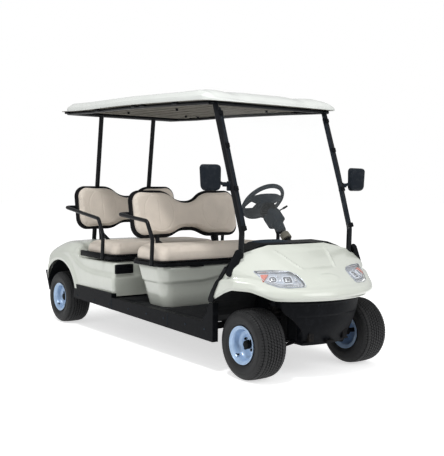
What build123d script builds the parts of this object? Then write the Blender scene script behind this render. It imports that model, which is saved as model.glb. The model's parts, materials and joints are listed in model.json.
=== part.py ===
from build123d import *
import os
from math import cos, radians, sin

# Four-seat golf cart: +X forward, +Y to its left side, +Z up, millimetres.
# The origin is on the ground below the middle of the wheelbase, which is also the middle of the length.

os.makedirs("parts", exist_ok=True)

# ---------------------------------------------------------------- running gear
wheelbase = 2620
overall_length = 3310
front_axle_x = wheelbase / 2
rear_axle_x = -wheelbase / 2
nose_x = overall_length / 2
tail_x = -overall_length / 2

tyre_radius = 228.5
tyre_width = 216
bead_radius = 102
flange_radius = 124
rim_width = 204
rim_wall = 5
hub_radius = 34
hub_length = 96
hub_bore_radius = 15
front_track = 910
rear_track = 978
fit_clearance = 0.08
seat_gap = 0.3
hand_hole_radius = 11
hand_hole_circle = 58
hand_hole_count = 8

kingpin_y = 330
kingpin_radius = 13
kingpin_length = 100
steering_arm_length = 120
tie_rod_radius = 9

# ---------------------------------------------------------------- body shell
body_width = 1200
body_half = body_width / 2
panel_wall = 6
sill_width = 45
sill_wall = 8
sill_bottom_z = 232
floor_top_z = 330
floor_thickness = 8
footwell_front_x = 935
footwell_rear_x = -330
toe_wall = 6

lip_top_z = 600
lip_bottom_z = 515
cowl_top_z = 857
cowl_top_x = 1200
cowl_base_z = 440
fender_top_z = 577
lamp_depth = 45

rear_box_front_x = -300
rear_box_bottom_z = 345
rear_rim_z = 612
deck_z = 748
rear_arch_radius = 320
rear_arch_z = 245
skirt_half = body_half - 16

# ---------------------------------------------------------------- seats
bench_half = body_half - 35
front_thickness = 118
rear_thickness = 104
hinge_drop = 20
hinge_pin_radius = 5
hinge_eye_radius = 10
hinge_strap = 6
tray_height = 26
seat_pan_z = 640
front_bench_rear_x = -50
front_bench_front_x = 365
rear_bench_rear_x = -925
rear_bench_front_x = -400
rear_bench_half = body_half - 60
front_base_z = 666
rear_base_z = 654
front_back_foot = (-89, 835)
rear_back_foot = (-1052, 857)
front_recline = 12.4
rear_recline = 9.5
pad_thickness = 45
shell_thickness = 14
backrest_half = body_half - 90
hump_height = 372
hump_offset = 270
hump_foot = 180
notch_half = 70
top_notch = 87
bottom_notch = 53
notch_radius = 180
back_corner_radius = 90
shell_lip = 6
seat_tube_radius = 15
armrest_y = body_half

# ---------------------------------------------------------------- roof and screen
roof_front_x = 1020
roof_rear_x = -1300
roof_half = 600
roof_wall = 6
pillar_radius = 19
post_radius = 20
frame_tube_radius = 13
screen_thickness = 5
screen_half = 472

# ---------------------------------------------------------------- steering
steering_wheel_centre = (505, 270, 1117)
steering_wheel_radius = 185
grip_radius = 14
column_rake = 42.8
column_radius = 21
column_length = 712


def save(piece, name):
    """Label a finished piece and write it as its own STEP file."""
    piece.part.label = name
    export_step(piece.part, f"parts/{name}.step")


def add_block(x_span, y_span, z_span, mode=Mode.ADD):
    """Add an upright block between pairs of low and high coordinates."""
    spans = (x_span, y_span, z_span)
    middle = tuple((low + high) / 2 for low, high in spans)
    with Locations(middle):
        Box(*[high - low for low, high in spans], mode=mode)


def add_tube(points, radius, bend_radius=60, mode=Mode.ADD):
    """Add a round bar along points, with its corners bent to bend_radius."""
    with BuildLine() as path:
        if len(points) == 2:
            Line(*points)
        else:
            FilletPolyline(*points, radius=bend_radius)
    route = path.wires()[0]
    with BuildSketch(Plane(origin=route @ 0, z_dir=route % 0)) as section:
        Circle(radius)
    sweep(sections=section.sketch, path=route, mode=mode)


def add_side_profile(outline, half_width, mode=Mode.ADD):
    """Add a closed side-view outline of (x, z) points, extruded both ways from the middle plane."""
    with BuildSketch(Plane.XZ) as profile:
        with BuildLine():
            Polyline(*outline, close=True)
        make_face()
    extrude(profile.sketch, amount=half_width, both=True, mode=mode)


# ================================================================ wheels
tyre_profile = [  # across the tyre from its middle, radius
    (0, tyre_radius),
    (62, tyre_radius - 2),
    (96, tyre_radius - 15),
    (tyre_width / 2, tyre_radius - 46),
    (tyre_width / 2 - 1, tyre_radius - 76),
    (rim_width / 2 - 10.5, flange_radius + 2),
    (rim_width / 2 - 10.5, bead_radius + seat_gap),
]
tyre_outline = tyre_profile + [(-across, radius) for across, radius in reversed(tyre_profile[1:])]

half_rim = rim_width / 2
well_radius = bead_radius - 16
rim_outer_line = [  # outboard distance, radius: the side that the tyre seats on
    (half_rim - 4, flange_radius),
    (half_rim - 10, flange_radius),
    (half_rim - 10, bead_radius),
    (48, bead_radius - 2),
    (36, well_radius),
]
rim_inner_line = [(across, radius - rim_wall) for across, radius in reversed(rim_outer_line[3:])]
rim_outline = (
    rim_outer_line
    + [(-across, radius) for across, radius in reversed(rim_outer_line)]
    + [(-half_rim, flange_radius - 6), (-half_rim + 2, bead_radius - rim_wall)]
    + [(-across, radius) for across, radius in reversed(rim_inner_line)]
    + rim_inner_line
    + [(half_rim - 2, bead_radius - rim_wall), (half_rim, flange_radius - 6)]
)
disc_outboard = 30

wheel_places = [  # name, axle x, side, middle of the tyre
    ("front_left", front_axle_x, 1, front_track / 2),
    ("front_right", front_axle_x, -1, -front_track / 2),
    ("rear_left", rear_axle_x, 1, rear_track / 2),
    ("rear_right", rear_axle_x, -1, -rear_track / 2),
]
for place, axle_x, side, middle_y in wheel_places:
    hub_centre = (axle_x, middle_y, tyre_radius)
    wheel_plane = Plane(origin=hub_centre, x_dir=(0, side, 0), z_dir=(side, 0, 0))
    wheel_axis = Axis(hub_centre, (0, 1, 0))
    outboard = Plane(origin=hub_centre, x_dir=(1, 0, 0), z_dir=(0, side, 0))

    with BuildPart() as tyre:
        with BuildSketch(wheel_plane):
            with BuildLine():
                Polyline(*tyre_outline, close=True)
            make_face()
        revolve(axis=wheel_axis)
    save(tyre, f"tyre_{place}")

    with BuildPart() as rim:
        with BuildSketch(wheel_plane):
            with BuildLine():
                Polyline(*rim_outline, close=True)
            make_face()
        revolve(axis=wheel_axis)
        with BuildSketch(outboard.offset(disc_outboard)):
            Circle(well_radius - rim_wall + 1)
        extrude(amount=-rim_wall)
        with BuildSketch(outboard.offset(disc_outboard + 8)):
            Circle(hub_radius)
        extrude(amount=-hub_length)
        with BuildSketch(outboard.offset(disc_outboard - hub_length + 8)):
            Circle(hub_bore_radius + fit_clearance)
        extrude(amount=hub_length - 14, mode=Mode.SUBTRACT)
        with BuildSketch(outboard.offset(disc_outboard)):
            with PolarLocations(hand_hole_circle, hand_hole_count):
                Circle(hand_hole_radius)
        extrude(amount=-rim_wall, mode=Mode.SUBTRACT)
    save(rim, f"rim_{place}")

spindle_end = disc_outboard - 10

# ================================================================ front knuckles and suspension
spindle_z = tyre_radius
lower_joint_z = spindle_z - kingpin_length / 2
upper_joint_z = spindle_z + kingpin_length / 2
arm_eye_z = spindle_z - 30

for place, side in (("left", 1), ("right", -1)):
    with BuildPart() as knuckle:
        with BuildSketch(Plane.XY.offset(lower_joint_z)):
            with Locations((front_axle_x, side * kingpin_y)):
                Circle(kingpin_radius)
        extrude(amount=kingpin_length)
        with BuildSketch(Plane(origin=(front_axle_x, side * kingpin_y, spindle_z), z_dir=(0, side, 0))):
            Circle(hub_bore_radius)
        extrude(amount=front_track / 2 - kingpin_y + spindle_end)
        with BuildSketch(Plane(origin=(front_axle_x, side * kingpin_y, spindle_z), z_dir=(0, side, 0))):
            Circle(hub_radius - 4)
        extrude(amount=front_track / 2 - kingpin_y + disc_outboard - hub_length + 8 - 5)
        add_block(
            (front_axle_x - steering_arm_length, front_axle_x),
            sorted((side * (kingpin_y - 12), side * (kingpin_y + 8))),
            (arm_eye_z - 6, arm_eye_z + 6),
        )
    save(knuckle, f"knuckle_{place}")

tie_rod_z = arm_eye_z - 6 - tie_rod_radius - seat_gap
with BuildPart() as tie_rod:
    tie_rod_x = front_axle_x - steering_arm_length + 12
    add_tube([(tie_rod_x, -kingpin_y, tie_rod_z), (tie_rod_x, kingpin_y, tie_rod_z)], tie_rod_radius)
save(tie_rod, "tie_rod")

tower_z = 528
tower_half = 22
tower_plate = 12
arm_spread = 75
arm_bracket = 28
arm_bracket_drop = 34
strut_cap_rise = 3.1
strut_y = 268
rail_y = 150
rail_width = 40
rail_height = 60
rail_top_z = 300
rail_bottom_z = rail_top_z - rail_height
kick_up_x = -880
rail_front_x = nose_x - 129
rail_rear_x = tail_x + 95
tow_plate = 12
tow_plate_half = 35
tow_eye_x = 1520
tow_eye_radius = 10.5
with BuildPart() as front_suspension:
    for arm_x in (front_axle_x - arm_spread, front_axle_x + arm_spread):
        add_tube(
            [(arm_x, rail_y + 23.3, rail_bottom_z - 20), (front_axle_x, kingpin_y - 22, lower_joint_z - 10)],
            10,
        )
    with Locations((front_axle_x, kingpin_y - 6, lower_joint_z - 10)):
        Cylinder(20, 20 - 2 * seat_gap)
    add_tube([(front_axle_x, kingpin_y, upper_joint_z + 10), (front_axle_x, strut_y + 16, 350)], 9)
    with Locations((front_axle_x, kingpin_y, upper_joint_z + 10)):
        Cylinder(15, 20 - 2 * seat_gap)
    add_tube([(front_axle_x, strut_y + 18, 340), (front_axle_x, strut_y, tower_z)], 30)
    mirror(about=Plane.XZ)
save(front_suspension, "front_suspension")

# ================================================================ rear axle, motor and springs
axle_tube_radius = 33
with BuildPart() as rear_axle:
    inner_end = rear_track / 2 + disc_outboard - hub_length + 8
    with BuildSketch(Plane(origin=(rear_axle_x, -inner_end + 5, tyre_radius), z_dir=(0, 1, 0))):
        Circle(axle_tube_radius)
    extrude(amount=2 * (inner_end - 5))
    stub_end = rear_track / 2 + spindle_end
    with BuildSketch(Plane(origin=(rear_axle_x, -stub_end, tyre_radius), z_dir=(0, 1, 0))):
        Circle(hub_bore_radius)
    extrude(amount=2 * stub_end)
    with Locations((rear_axle_x, 0, tyre_radius)):
        Sphere(105)
save(rear_axle, "rear_axle")

with BuildPart() as drive_motor:
    with BuildSketch(Plane(origin=(rear_axle_x + 105 + seat_gap, 0, tyre_radius + 30), z_dir=(1, 0, 0))):
        Circle(90)
    extrude(amount=290)
save(drive_motor, "drive_motor")

spring_y = 262
spring_half = 25
spring_front_x = -1038
spring_rear_x = -1528
spring_eye_z = 280
spring_overhang = 18
spring_tip = 18
hanger_half = 18
spring_depth = 28
with BuildPart() as rear_springs:
    with BuildSketch(Plane(origin=(0, spring_y, 0), x_dir=(1, 0, 0), z_dir=(0, -1, 0))):
        with BuildLine():
            seat_z = tyre_radius - axle_tube_radius - seat_gap
            end_xs = (spring_rear_x - spring_overhang, spring_front_x + spring_overhang)
            outer = ThreePointArc(
                (end_xs[0], spring_eye_z - spring_tip),
                (rear_axle_x, seat_z - spring_depth),
                (end_xs[1], spring_eye_z - spring_tip),
            )
            inner = ThreePointArc((end_xs[0], spring_eye_z), (rear_axle_x, seat_z), (end_xs[1], spring_eye_z))
            Line(outer @ 0, inner @ 0)
            Line(outer @ 1, inner @ 1)
        make_face()
    extrude(amount=spring_half, both=True)
    mirror(about=Plane.XZ)
save(rear_springs, "rear_springs")

# ================================================================ chassis
cross_member_xs = (1470, 1090, 880, 60, footwell_rear_x, -860)
outrigger_xs = (880, 60, -860)
outrigger_half = 20
outrigger_y = 520
cross_half = 25
with BuildPart() as chassis_frame:
    rail_span = (rail_y - rail_width / 2, rail_y + rail_width / 2)
    rail_outer = rail_span[1] + seat_gap
    upper_rail_z = (rail_top_z + seat_gap, rail_top_z + rail_height)
    add_block((kick_up_x - 40, rail_front_x), rail_span, (rail_bottom_z, rail_top_z))
    add_block((rail_rear_x, kick_up_x), rail_span, upper_rail_z)
    for arm_x in (front_axle_x - arm_spread, front_axle_x + arm_spread):
        add_block(
            (arm_x - arm_bracket / 2, arm_x + arm_bracket / 2),
            (rail_y - 18, rail_y + 18),
            (rail_bottom_z - arm_bracket_drop, rail_bottom_z - seat_gap),
        )
    tower_span = (front_axle_x - tower_half, front_axle_x + tower_half)
    tower_foot_z = tower_z + strut_cap_rise + seat_gap
    add_block(tower_span, rail_span, (rail_top_z + seat_gap, tower_foot_z - seat_gap))
    add_block(tower_span, (rail_span[0], strut_y + 32), (tower_foot_z, tower_foot_z + tower_plate))
    for hanger_x in (spring_front_x, spring_rear_x):
        hanger_span = (hanger_x - hanger_half, hanger_x + hanger_half)
        hanger_z = (spring_eye_z + seat_gap, rail_top_z + rail_height / 2)
        add_block(hanger_span, (rail_outer, spring_y + spring_half), hanger_z)
    for outrigger_x in outrigger_xs:
        outrigger_span = (outrigger_x - outrigger_half, outrigger_x + outrigger_half)
        add_block(outrigger_span, (rail_outer, outrigger_y), (rail_bottom_z + rail_height / 3, rail_top_z))
    mirror(about=Plane.XZ)
    cross_span = (seat_gap - rail_span[0], rail_span[0] - seat_gap)
    add_block((rail_rear_x, rail_rear_x + rail_width), cross_span, upper_rail_z)
    for cross_x in cross_member_xs:
        add_block((cross_x - cross_half, cross_x + cross_half), cross_span, (rail_bottom_z, rail_top_z))
    plate_span = (rail_bottom_z - tow_plate - seat_gap, rail_bottom_z - seat_gap)
    tow_root_x = tow_eye_x - 25
    add_block((tow_root_x - 15, tow_eye_x + 25), (-tow_plate_half, tow_plate_half), plate_span)
    add_block((tow_root_x - 55, tow_root_x), (-rail_y, rail_y), plate_span)
    with Locations((tow_eye_x, 0, rail_bottom_z - seat_gap - tow_plate / 2)):
        Cylinder(tow_eye_radius, tow_plate + 2, mode=Mode.SUBTRACT)
save(chassis_frame, "chassis_frame")

battery_length = 260
battery_half = 400
battery_top_z = floor_top_z + 262
with BuildPart() as battery_pack:
    add_block(
        (20, 20 + battery_length), (-battery_half, battery_half), (floor_top_z + seat_gap, battery_top_z)
    )
save(battery_pack, "battery_pack")

with BuildPart() as floor_pan:
    floor_half = body_half - sill_width - seat_gap
    add_block(
        (kick_up_x, footwell_front_x),
        (-floor_half, floor_half),
        (floor_top_z - floor_thickness, floor_top_z),
    )
save(floor_pan, "floor_pan")

toe_line = [  # side view of the toe board's rear face: x, z
    (footwell_front_x, floor_top_z - floor_thickness),
    (footwell_front_x, floor_top_z),
    (975, 372),
    (1004, 450),
    (1100, 620),
]
with BuildPart() as toe_board:
    forward_line = [(x + toe_wall, z - toe_wall / 2) for x, z in toe_line]
    add_side_profile(toe_line + forward_line[::-1], body_half - sill_width - seat_gap)
save(toe_board, "toe_board")

# ================================================================ front cowl and what it holds
cowl_sections = [  # height, nose x at the middle, x where the nose arc meets the side, half width
    (cowl_base_z, nose_x - 32, 1290, body_half - 8),
    (lip_bottom_z, nose_x - 10, 1296, body_half - 3),
    (lip_bottom_z + 38, nose_x, 1298, body_half),
    (lip_top_z + 8, nose_x - 58, 1285, body_half - 4),
    (700, 1440, 1255, body_half - 18),
    (790, 1304, 1205, 500),
    (cowl_top_z, cowl_top_x + 6, cowl_top_x - 10, 270),
]
cowl_back_x = 960


def add_cowl_form(inset, mode=Mode.ADD):
    """Loft the cowl's outer form through D-shaped level sections, drawn in by inset."""
    rings = []
    for height, front_x, side_x, half_width in cowl_sections:
        width = half_width - inset
        shoulder_x = side_x - inset
        with BuildSketch(Plane.XY.offset(height - (inset if height > cowl_base_z else 0))) as ring:
            with BuildLine():
                Polyline(
                    (shoulder_x, -width), (cowl_back_x, -width), (cowl_back_x, width), (shoulder_x, width)
                )
                ThreePointArc((shoulder_x, -width), (front_x - inset, 0), (shoulder_x, width))
            make_face()
        rings.append(ring.sketch)
    loft(rings, ruled=True, mode=mode)


fender_line = [  # side view of what is cut away below the cowl's edge: x, z
    (nose_x + 40, 300),
    (nose_x + 40, lip_bottom_z),
    (1500, lip_bottom_z),
    (1430, 552),
    (1370, 574),
    (1283, fender_top_z),
    (1200, 556),
    (1120, 510),
    (1063, 468 + seat_gap),
    (1010, 468 + seat_gap),
    (940, 400),
    (900, 300),
]
rear_edge_line = [  # side view of what is cut away behind the cowl's rear edge: x, z
    (900, 300),
    (1010, 470),
    (1130, 650),
    (cowl_top_x - 4, 765),
    (cowl_top_x - 4, 900),
    (900, 900),
]
lamp_outline = [  # front view of the near headlight: y, z
    (500, 700),
    (390, 699),
    (300, 695),
    (240, 686),
    (206, 640),
    (204, 604),
    (320, 600),
    (420, 626),
    (488, 668),
]


def add_lamp_prism(grow, mode=Mode.ADD):
    """Add both headlight outlines as prisms along X, grown by a clearance."""
    with BuildSketch(Plane(origin=(1250, 0, 0), x_dir=(0, 1, 0), z_dir=(1, 0, 0))) as outline:
        with BuildLine():
            Polyline(*lamp_outline, close=True)
        make_face()
        if grow:
            offset(amount=grow, kind=Kind.INTERSECTION)
        mirror(about=Plane.YZ)
    extrude(outline.sketch, amount=400, mode=mode)


with BuildPart() as front_cowl:
    add_cowl_form(0)
    add_cowl_form(panel_wall, mode=Mode.SUBTRACT)
    add_side_profile(fender_line, body_half + 20, mode=Mode.SUBTRACT)
    add_side_profile(rear_edge_line, body_half + 20, mode=Mode.SUBTRACT)
    add_lamp_prism(seat_gap, mode=Mode.SUBTRACT)
save(front_cowl, "front_cowl")

with BuildPart() as headlights:
    add_lamp_prism(0)
    add_cowl_form(0, mode=Mode.INTERSECT)
    add_cowl_form(lamp_depth, mode=Mode.SUBTRACT)
save(headlights, "headlights")

with BuildPart() as cowl_edge_trims:
    with BuildSketch(Plane(origin=(0, body_half - 2, 0), x_dir=(1, 0, 0), z_dir=(0, -1, 0))):
        with BuildLine():
            Polyline((1012, 471), (1034, 471), (1150, 640), (1200, 700), (1186, 722), (1124, 650), close=True)
        make_face()
    extrude(amount=30)
    mirror(about=Plane.XZ)
    add(front_cowl.part, mode=Mode.SUBTRACT)
save(cowl_edge_trims, "cowl_edge_trims")

bumper_front_x = nose_x - 82
bumper_wall = 22
bumper_bow = 130
bumper_half = 380
bumper_half_line = [  # front view of the near half: y, z
    (0, lip_bottom_z - 8),
    (352, lip_bottom_z - 8),
    (340, 452),
    (262, 372),
    (205, 290),
    (190, 222),
    (0, 212),
]
with BuildPart() as front_bumper:
    with BuildSketch(Plane.XY.offset(200)):
        with BuildLine():
            end_x = bumper_front_x - bumper_bow
            outer_arc = ThreePointArc((end_x, -bumper_half), (bumper_front_x, 0), (end_x, bumper_half))
            inner_arc = ThreePointArc(
                (end_x - bumper_wall, 8 - bumper_half),
                (bumper_front_x - bumper_wall, 0),
                (end_x - bumper_wall, bumper_half - 8),
            )
            Line(outer_arc @ 0, inner_arc @ 0)
            Line(outer_arc @ 1, inner_arc @ 1)
        make_face()
    extrude(amount=330)
    with BuildSketch(Plane(origin=(bumper_front_x - 273, 0, 0), x_dir=(0, 1, 0), z_dir=(1, 0, 0))):
        with BuildLine():
            Polyline(*bumper_half_line)
            Polyline(*[(-across, up) for across, up in bumper_half_line])
        make_face()
    extrude(amount=400, mode=Mode.INTERSECT)
save(front_bumper, "front_bumper")

dash_line = [  # side view of the dashboard: x, z
    (cowl_top_x - 4 - seat_gap, 853),
    (1060, 862),
    (960, 826),
    (930, 772),
    (945, 735),
    (1080, 640),
    (1150, 640),
    (cowl_top_x - 4 - seat_gap, 730),
]
inner_dash_line = [
    (1200, 847),
    (1060, 855),
    (967, 820),
    (939, 771),
    (953, 741),
    (1083, 648),
    (1146, 648),
    (1200, 738),
]
dash_crown = [  # front view of the dashboard's half: y, z
    (484, 600),
    (484, 782),
    (395, 822),
    (262, 864),
]
dash_plan = [  # plan of the dashboard's half: x, y
    (920, 180),
    (1000, 310),
    (1145, 484),
    (1200, 484),
]
with BuildPart() as dashboard:
    add_side_profile(dash_line, 484)
    with BuildSketch(Plane(origin=(880, 0, 0), x_dir=(0, 1, 0), z_dir=(1, 0, 0))):
        with BuildLine():
            Polyline(*dash_crown, *[(-across, up) for across, up in reversed(dash_crown)], close=True)
        make_face()
    extrude(amount=400, mode=Mode.INTERSECT)
    with BuildSketch(Plane.XY.offset(600)):
        with BuildLine():
            Polyline(*dash_plan, *[(x, -across) for x, across in reversed(dash_plan)], close=True)
        make_face()
    extrude(amount=300, mode=Mode.INTERSECT)
    add_side_profile(inner_dash_line, 165, mode=Mode.SUBTRACT)
save(dashboard, "dashboard")

# ================================================================ rear body
tub_line = [  # side view of the rear body: x, z
    (rear_box_front_x - 40, rear_box_bottom_z),
    (rear_box_front_x, rear_rim_z),
    (-945, rear_rim_z),
    (-1010, 665),
    (-1065, 735),
    (-1120, deck_z),
    (-1300, deck_z - 10),
    (-1470, 690),
    (tail_x + 30, 622),
    (tail_x, 560),
    (tail_x, 440),
    (tail_x + 60, rear_box_bottom_z),
]
inner_tub_line = [  # the same line drawn in by the panel's thickness, open below
    (rear_box_front_x - 47, rear_box_bottom_z - 10),
    (rear_box_front_x - panel_wall, rear_rim_z - panel_wall),
    (-948, rear_rim_z - panel_wall),
    (-1014, 658),
    (-1069, 729),
    (-1122, deck_z - panel_wall),
    (-1299, deck_z - 16),
    (-1467, 684),
    (tail_x + 35, 617),
    (tail_x + panel_wall, 558),
    (tail_x + panel_wall, 441),
    (tail_x + 66, rear_box_bottom_z - 10),
]


def add_sill_form(grow, mode=Mode.ADD):
    """Add both sills' outer form, grown by a clearance."""
    line = [
        (-1000, 381),
        (-320, 370),
        (-320, floor_top_z + 8),
        (footwell_front_x, floor_top_z + 5),
        (995, 400),
        (1022, 468),
        (1063, 468),
        (1063, 211),
        (-1000, sill_bottom_z + 30),
    ]
    for side in (-1, 1):
        with BuildSketch(Plane.XZ.offset(-side * (body_half + grow))) as face:
            with BuildLine():
                Polyline(*line, close=True)
            make_face()
            if grow:
                offset(amount=grow, kind=Kind.INTERSECTION)
        extrude(face.sketch, amount=side * (sill_width + 2 * grow), mode=mode)


haunch_line = [  # front view of the rear body's half: y, z
    (skirt_half, rear_box_bottom_z - 20),
    (skirt_half, 640),
    (skirt_half - 16, 690),
    (skirt_half - 56, 730),
    (skirt_half - 120, deck_z + 1),
]
plan_corner = 80


def haunch_form(inset):
    """The rear body's rounded shoulders and plan corners as one block, drawn in by inset."""
    with BuildPart() as form:
        with BuildSketch(Plane(origin=(tail_x - 10, 0, 0), x_dir=(0, 1, 0), z_dir=(1, 0, 0))):
            with BuildLine():
                near = [(across - inset, up - inset) for across, up in haunch_line]
                Polyline(*near, *[(-across, up) for across, up in reversed(near)], close=True)
            make_face()
        extrude(amount=rear_box_front_x - tail_x + 20)
        with BuildSketch(Plane.XY.offset(200)):
            with Locations(((rear_box_front_x + tail_x) / 2, 0)):
                RectangleRounded(
                    rear_box_front_x - tail_x - 2 * inset, 2 * (skirt_half - inset), plan_corner - inset
                )
        extrude(amount=700, mode=Mode.INTERSECT)
    return form.part


outer_haunch = haunch_form(0)
inner_haunch = haunch_form(panel_wall)
with BuildPart() as tub_core:
    add_side_profile(inner_tub_line, skirt_half)
    add(inner_haunch, mode=Mode.INTERSECT)
with BuildPart() as rear_body:
    add_side_profile(tub_line, skirt_half)
    add(outer_haunch, mode=Mode.INTERSECT)
    add(tub_core.part, mode=Mode.SUBTRACT)
    with BuildSketch(Plane(origin=(rear_axle_x + 20, 0, rear_arch_z), x_dir=(1, 0, 0), z_dir=(0, -1, 0))):
        Circle(rear_arch_radius)
    extrude(amount=body_half + 10, both=True, mode=Mode.SUBTRACT)
    add_sill_form(seat_gap, mode=Mode.SUBTRACT)
save(rear_body, "rear_body")

with BuildPart() as side_sills:
    add_sill_form(0)
    pocket_width = sill_width - sill_wall
    for side in (-1, 1):
        add_block(
            (-990, 1050),
            sorted((side * (body_half - sill_wall), side * (body_half - sill_wall - pocket_width - 1))),
            (200, floor_top_z - floor_thickness),
            mode=Mode.SUBTRACT,
        )
save(side_sills, "side_sills")

rear_bumper_top_z = 439
rear_bumper_bottom_z = 262
rear_bumper_half = body_half - 30
with BuildPart() as rear_bumper:
    add_side_profile(
        [
            (tail_x, rear_bumper_top_z),
            (tail_x + 80, rear_bumper_bottom_z),
            (tail_x + 105, rear_bumper_bottom_z),
            (tail_x + 26, rear_bumper_top_z),
        ],
        rear_bumper_half,
    )
    add_side_profile(tub_line, skirt_half + 50, mode=Mode.SUBTRACT)
save(rear_bumper, "rear_bumper")

lamp_top_x, lamp_top_z = (tail_x + 27, 616)
lamp_foot_x, lamp_foot_z = (tail_x + 6, 572.4)
tail_lamp_thickness = 6
tail_lamp_y = 360
tail_lamp_width = 130
with BuildPart() as tail_lamps:
    lens_line = [
        (lamp_top_x - seat_gap, lamp_top_z),
        (lamp_foot_x - seat_gap, lamp_foot_z),
        (lamp_foot_x - seat_gap - tail_lamp_thickness, lamp_foot_z + 3),
        (lamp_top_x - seat_gap - tail_lamp_thickness, lamp_top_z + 3),
    ]
    with BuildSketch(Plane.XZ.offset(-tail_lamp_y)) as lens_face:
        with BuildLine():
            Polyline(*lens_line, close=True)
        make_face()
    extrude(lens_face.sketch, amount=-tail_lamp_width)
    mirror(about=Plane.XZ)
save(tail_lamps, "tail_lamps")

box_levels = [  # height, middle x, length, width of the front seat box
    (floor_top_z, (front_bench_front_x - 60) / 2, 310, body_width - 240),
    (seat_pan_z, (front_bench_front_x - 20 + front_bench_rear_x) / 2, 390, body_width - 100),
]
box_corner = 75
with BuildPart() as front_seat_box:
    for inset, reach, mode in ((0, 0, Mode.ADD), (panel_wall, 1, Mode.SUBTRACT)):
        rings = []
        for (height, box_x, length, width), beyond in zip(box_levels, (-reach, reach)):
            with BuildSketch(Plane.XY.offset(height + beyond)) as ring:
                with Locations((box_x, 0)):
                    RectangleRounded(length - 2 * inset, width - 2 * inset, box_corner - inset)
            rings.append(ring.sketch)
        loft(rings, mode=mode)
save(front_seat_box, "front_seat_box")

# ================================================================ roof, its frame and pillars
roof_stations = [  # x, underside height, lip height, crown height above the underside, half width
    (roof_front_x, 1797, 4, 12, roof_half - 46),
    (roof_front_x - 35, 1799, 34, 52, roof_half - 8),
    (850, 1806, 56, 88, roof_half),
    (400, 1826, 58, 108, roof_half),
    (-200, 1847, 58, 108, roof_half),
    (-800, 1857, 58, 108, roof_half),
    (roof_rear_x + 150, 1870, 56, 92, roof_half),
    (roof_rear_x + 30, 1874, 34, 56, roof_half - 8),
    (roof_rear_x, 1875, 4, 12, roof_half - 46),
]
liner_thickness = 5
shoulder = 52


def roof_underside_z(x):
    """Height of the roof's underside at x, along its straight runs between stations."""
    for (front, front_z, *_), (rear, rear_z, *_) in zip(roof_stations, roof_stations[1:]):
        if rear <= x <= front:
            return rear_z + (front_z - rear_z) * (x - rear) / (front - rear)
    return roof_stations[-1][1]


def roof_tube_z(x):
    """Height of a frame tube's middle where it runs under the roof at x."""
    return roof_underside_z(x) - frame_tube_radius - seat_gap


def add_roof_form(inset, mode=Mode.ADD):
    """Loft the roof's outer form through its stations, drawn in by inset and open below."""
    rings = []
    for x, underside, lip, crown, half_width in roof_stations:
        edge = half_width - inset
        foot = underside - 2 * inset
        lip_z = underside + lip * 0.6 - inset
        shoulder_z = underside + lip + 14 * lip / 58 - inset
        with BuildSketch(Plane(origin=(x, 0, 0), x_dir=(0, 1, 0), z_dir=(1, 0, 0))) as ring:
            with BuildLine():
                Polyline((edge - shoulder, shoulder_z), (edge, lip_z), (edge, foot), (-edge, foot))
                Polyline((-edge, foot), (-edge, lip_z), (-edge + shoulder, shoulder_z))
                ThreePointArc(
                    (-edge + shoulder, shoulder_z),
                    (0, underside + crown - inset),
                    (edge - shoulder, shoulder_z),
                )
            make_face()
        rings.append(ring.sketch)
    loft(rings, ruled=True, mode=mode)


with BuildPart() as roof:
    add_roof_form(0)
    add_roof_form(roof_wall, mode=Mode.SUBTRACT)
save(roof, "roof")

with BuildPart() as roof_liner:
    liner_xs = [roof_front_x - 75, 850, 400, -200, -800, roof_rear_x + 150, roof_rear_x + 40]
    under_line = [(x, roof_underside_z(x)) for x in liner_xs]
    over_line = [(x, z + liner_thickness) for x, z in reversed(under_line)]
    add_side_profile(under_line + over_line, roof_half - 8 - roof_wall - seat_gap)
save(roof_liner, "roof_liner")

roof_tube_y = 540
pillar_head_x = 926
post_head_x = -1115
frame_rear_x = -1230
with BuildPart() as roof_frame:
    for cross_x in (pillar_head_x, post_head_x, frame_rear_x):
        cross_z = roof_tube_z(cross_x)
        add_tube([(cross_x, -roof_tube_y, cross_z), (cross_x, roof_tube_y, cross_z)], frame_tube_radius)
    for side_y in (-roof_tube_y, roof_tube_y):
        run_xs = (pillar_head_x, 850, 400, -200, -800, post_head_x, frame_rear_x)
        for fore_x, aft_x in zip(run_xs, run_xs[1:]):
            add_tube(
                [(fore_x, side_y, roof_tube_z(fore_x)), (aft_x, side_y, roof_tube_z(aft_x))],
                frame_tube_radius,
            )
save(roof_frame, "roof_frame")


def post_head(across):
    """Top end of a rear roof post, just past the frame tube that it carries."""
    return (post_head_x, across, roof_tube_z(post_head_x) + 4)


with BuildPart() as front_pillars:
    add_tube(
        [
            (cowl_top_x + 13, 490, 760),
            (cowl_top_x + 21, 487, 943),
            (1075, 495, 1373),
            (pillar_head_x - 2, 496, roof_tube_z(pillar_head_x) + 8),
        ],
        pillar_radius,
        120,
    )
    mirror(about=Plane.XZ)
    add_cowl_form(0, mode=Mode.SUBTRACT)
    add_block((800, 1000), (-600, 600), (roof_tube_z(pillar_head_x), 2000), mode=Mode.SUBTRACT)
    add(roof_frame.part, mode=Mode.SUBTRACT)
save(front_pillars, "front_pillars")

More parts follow.
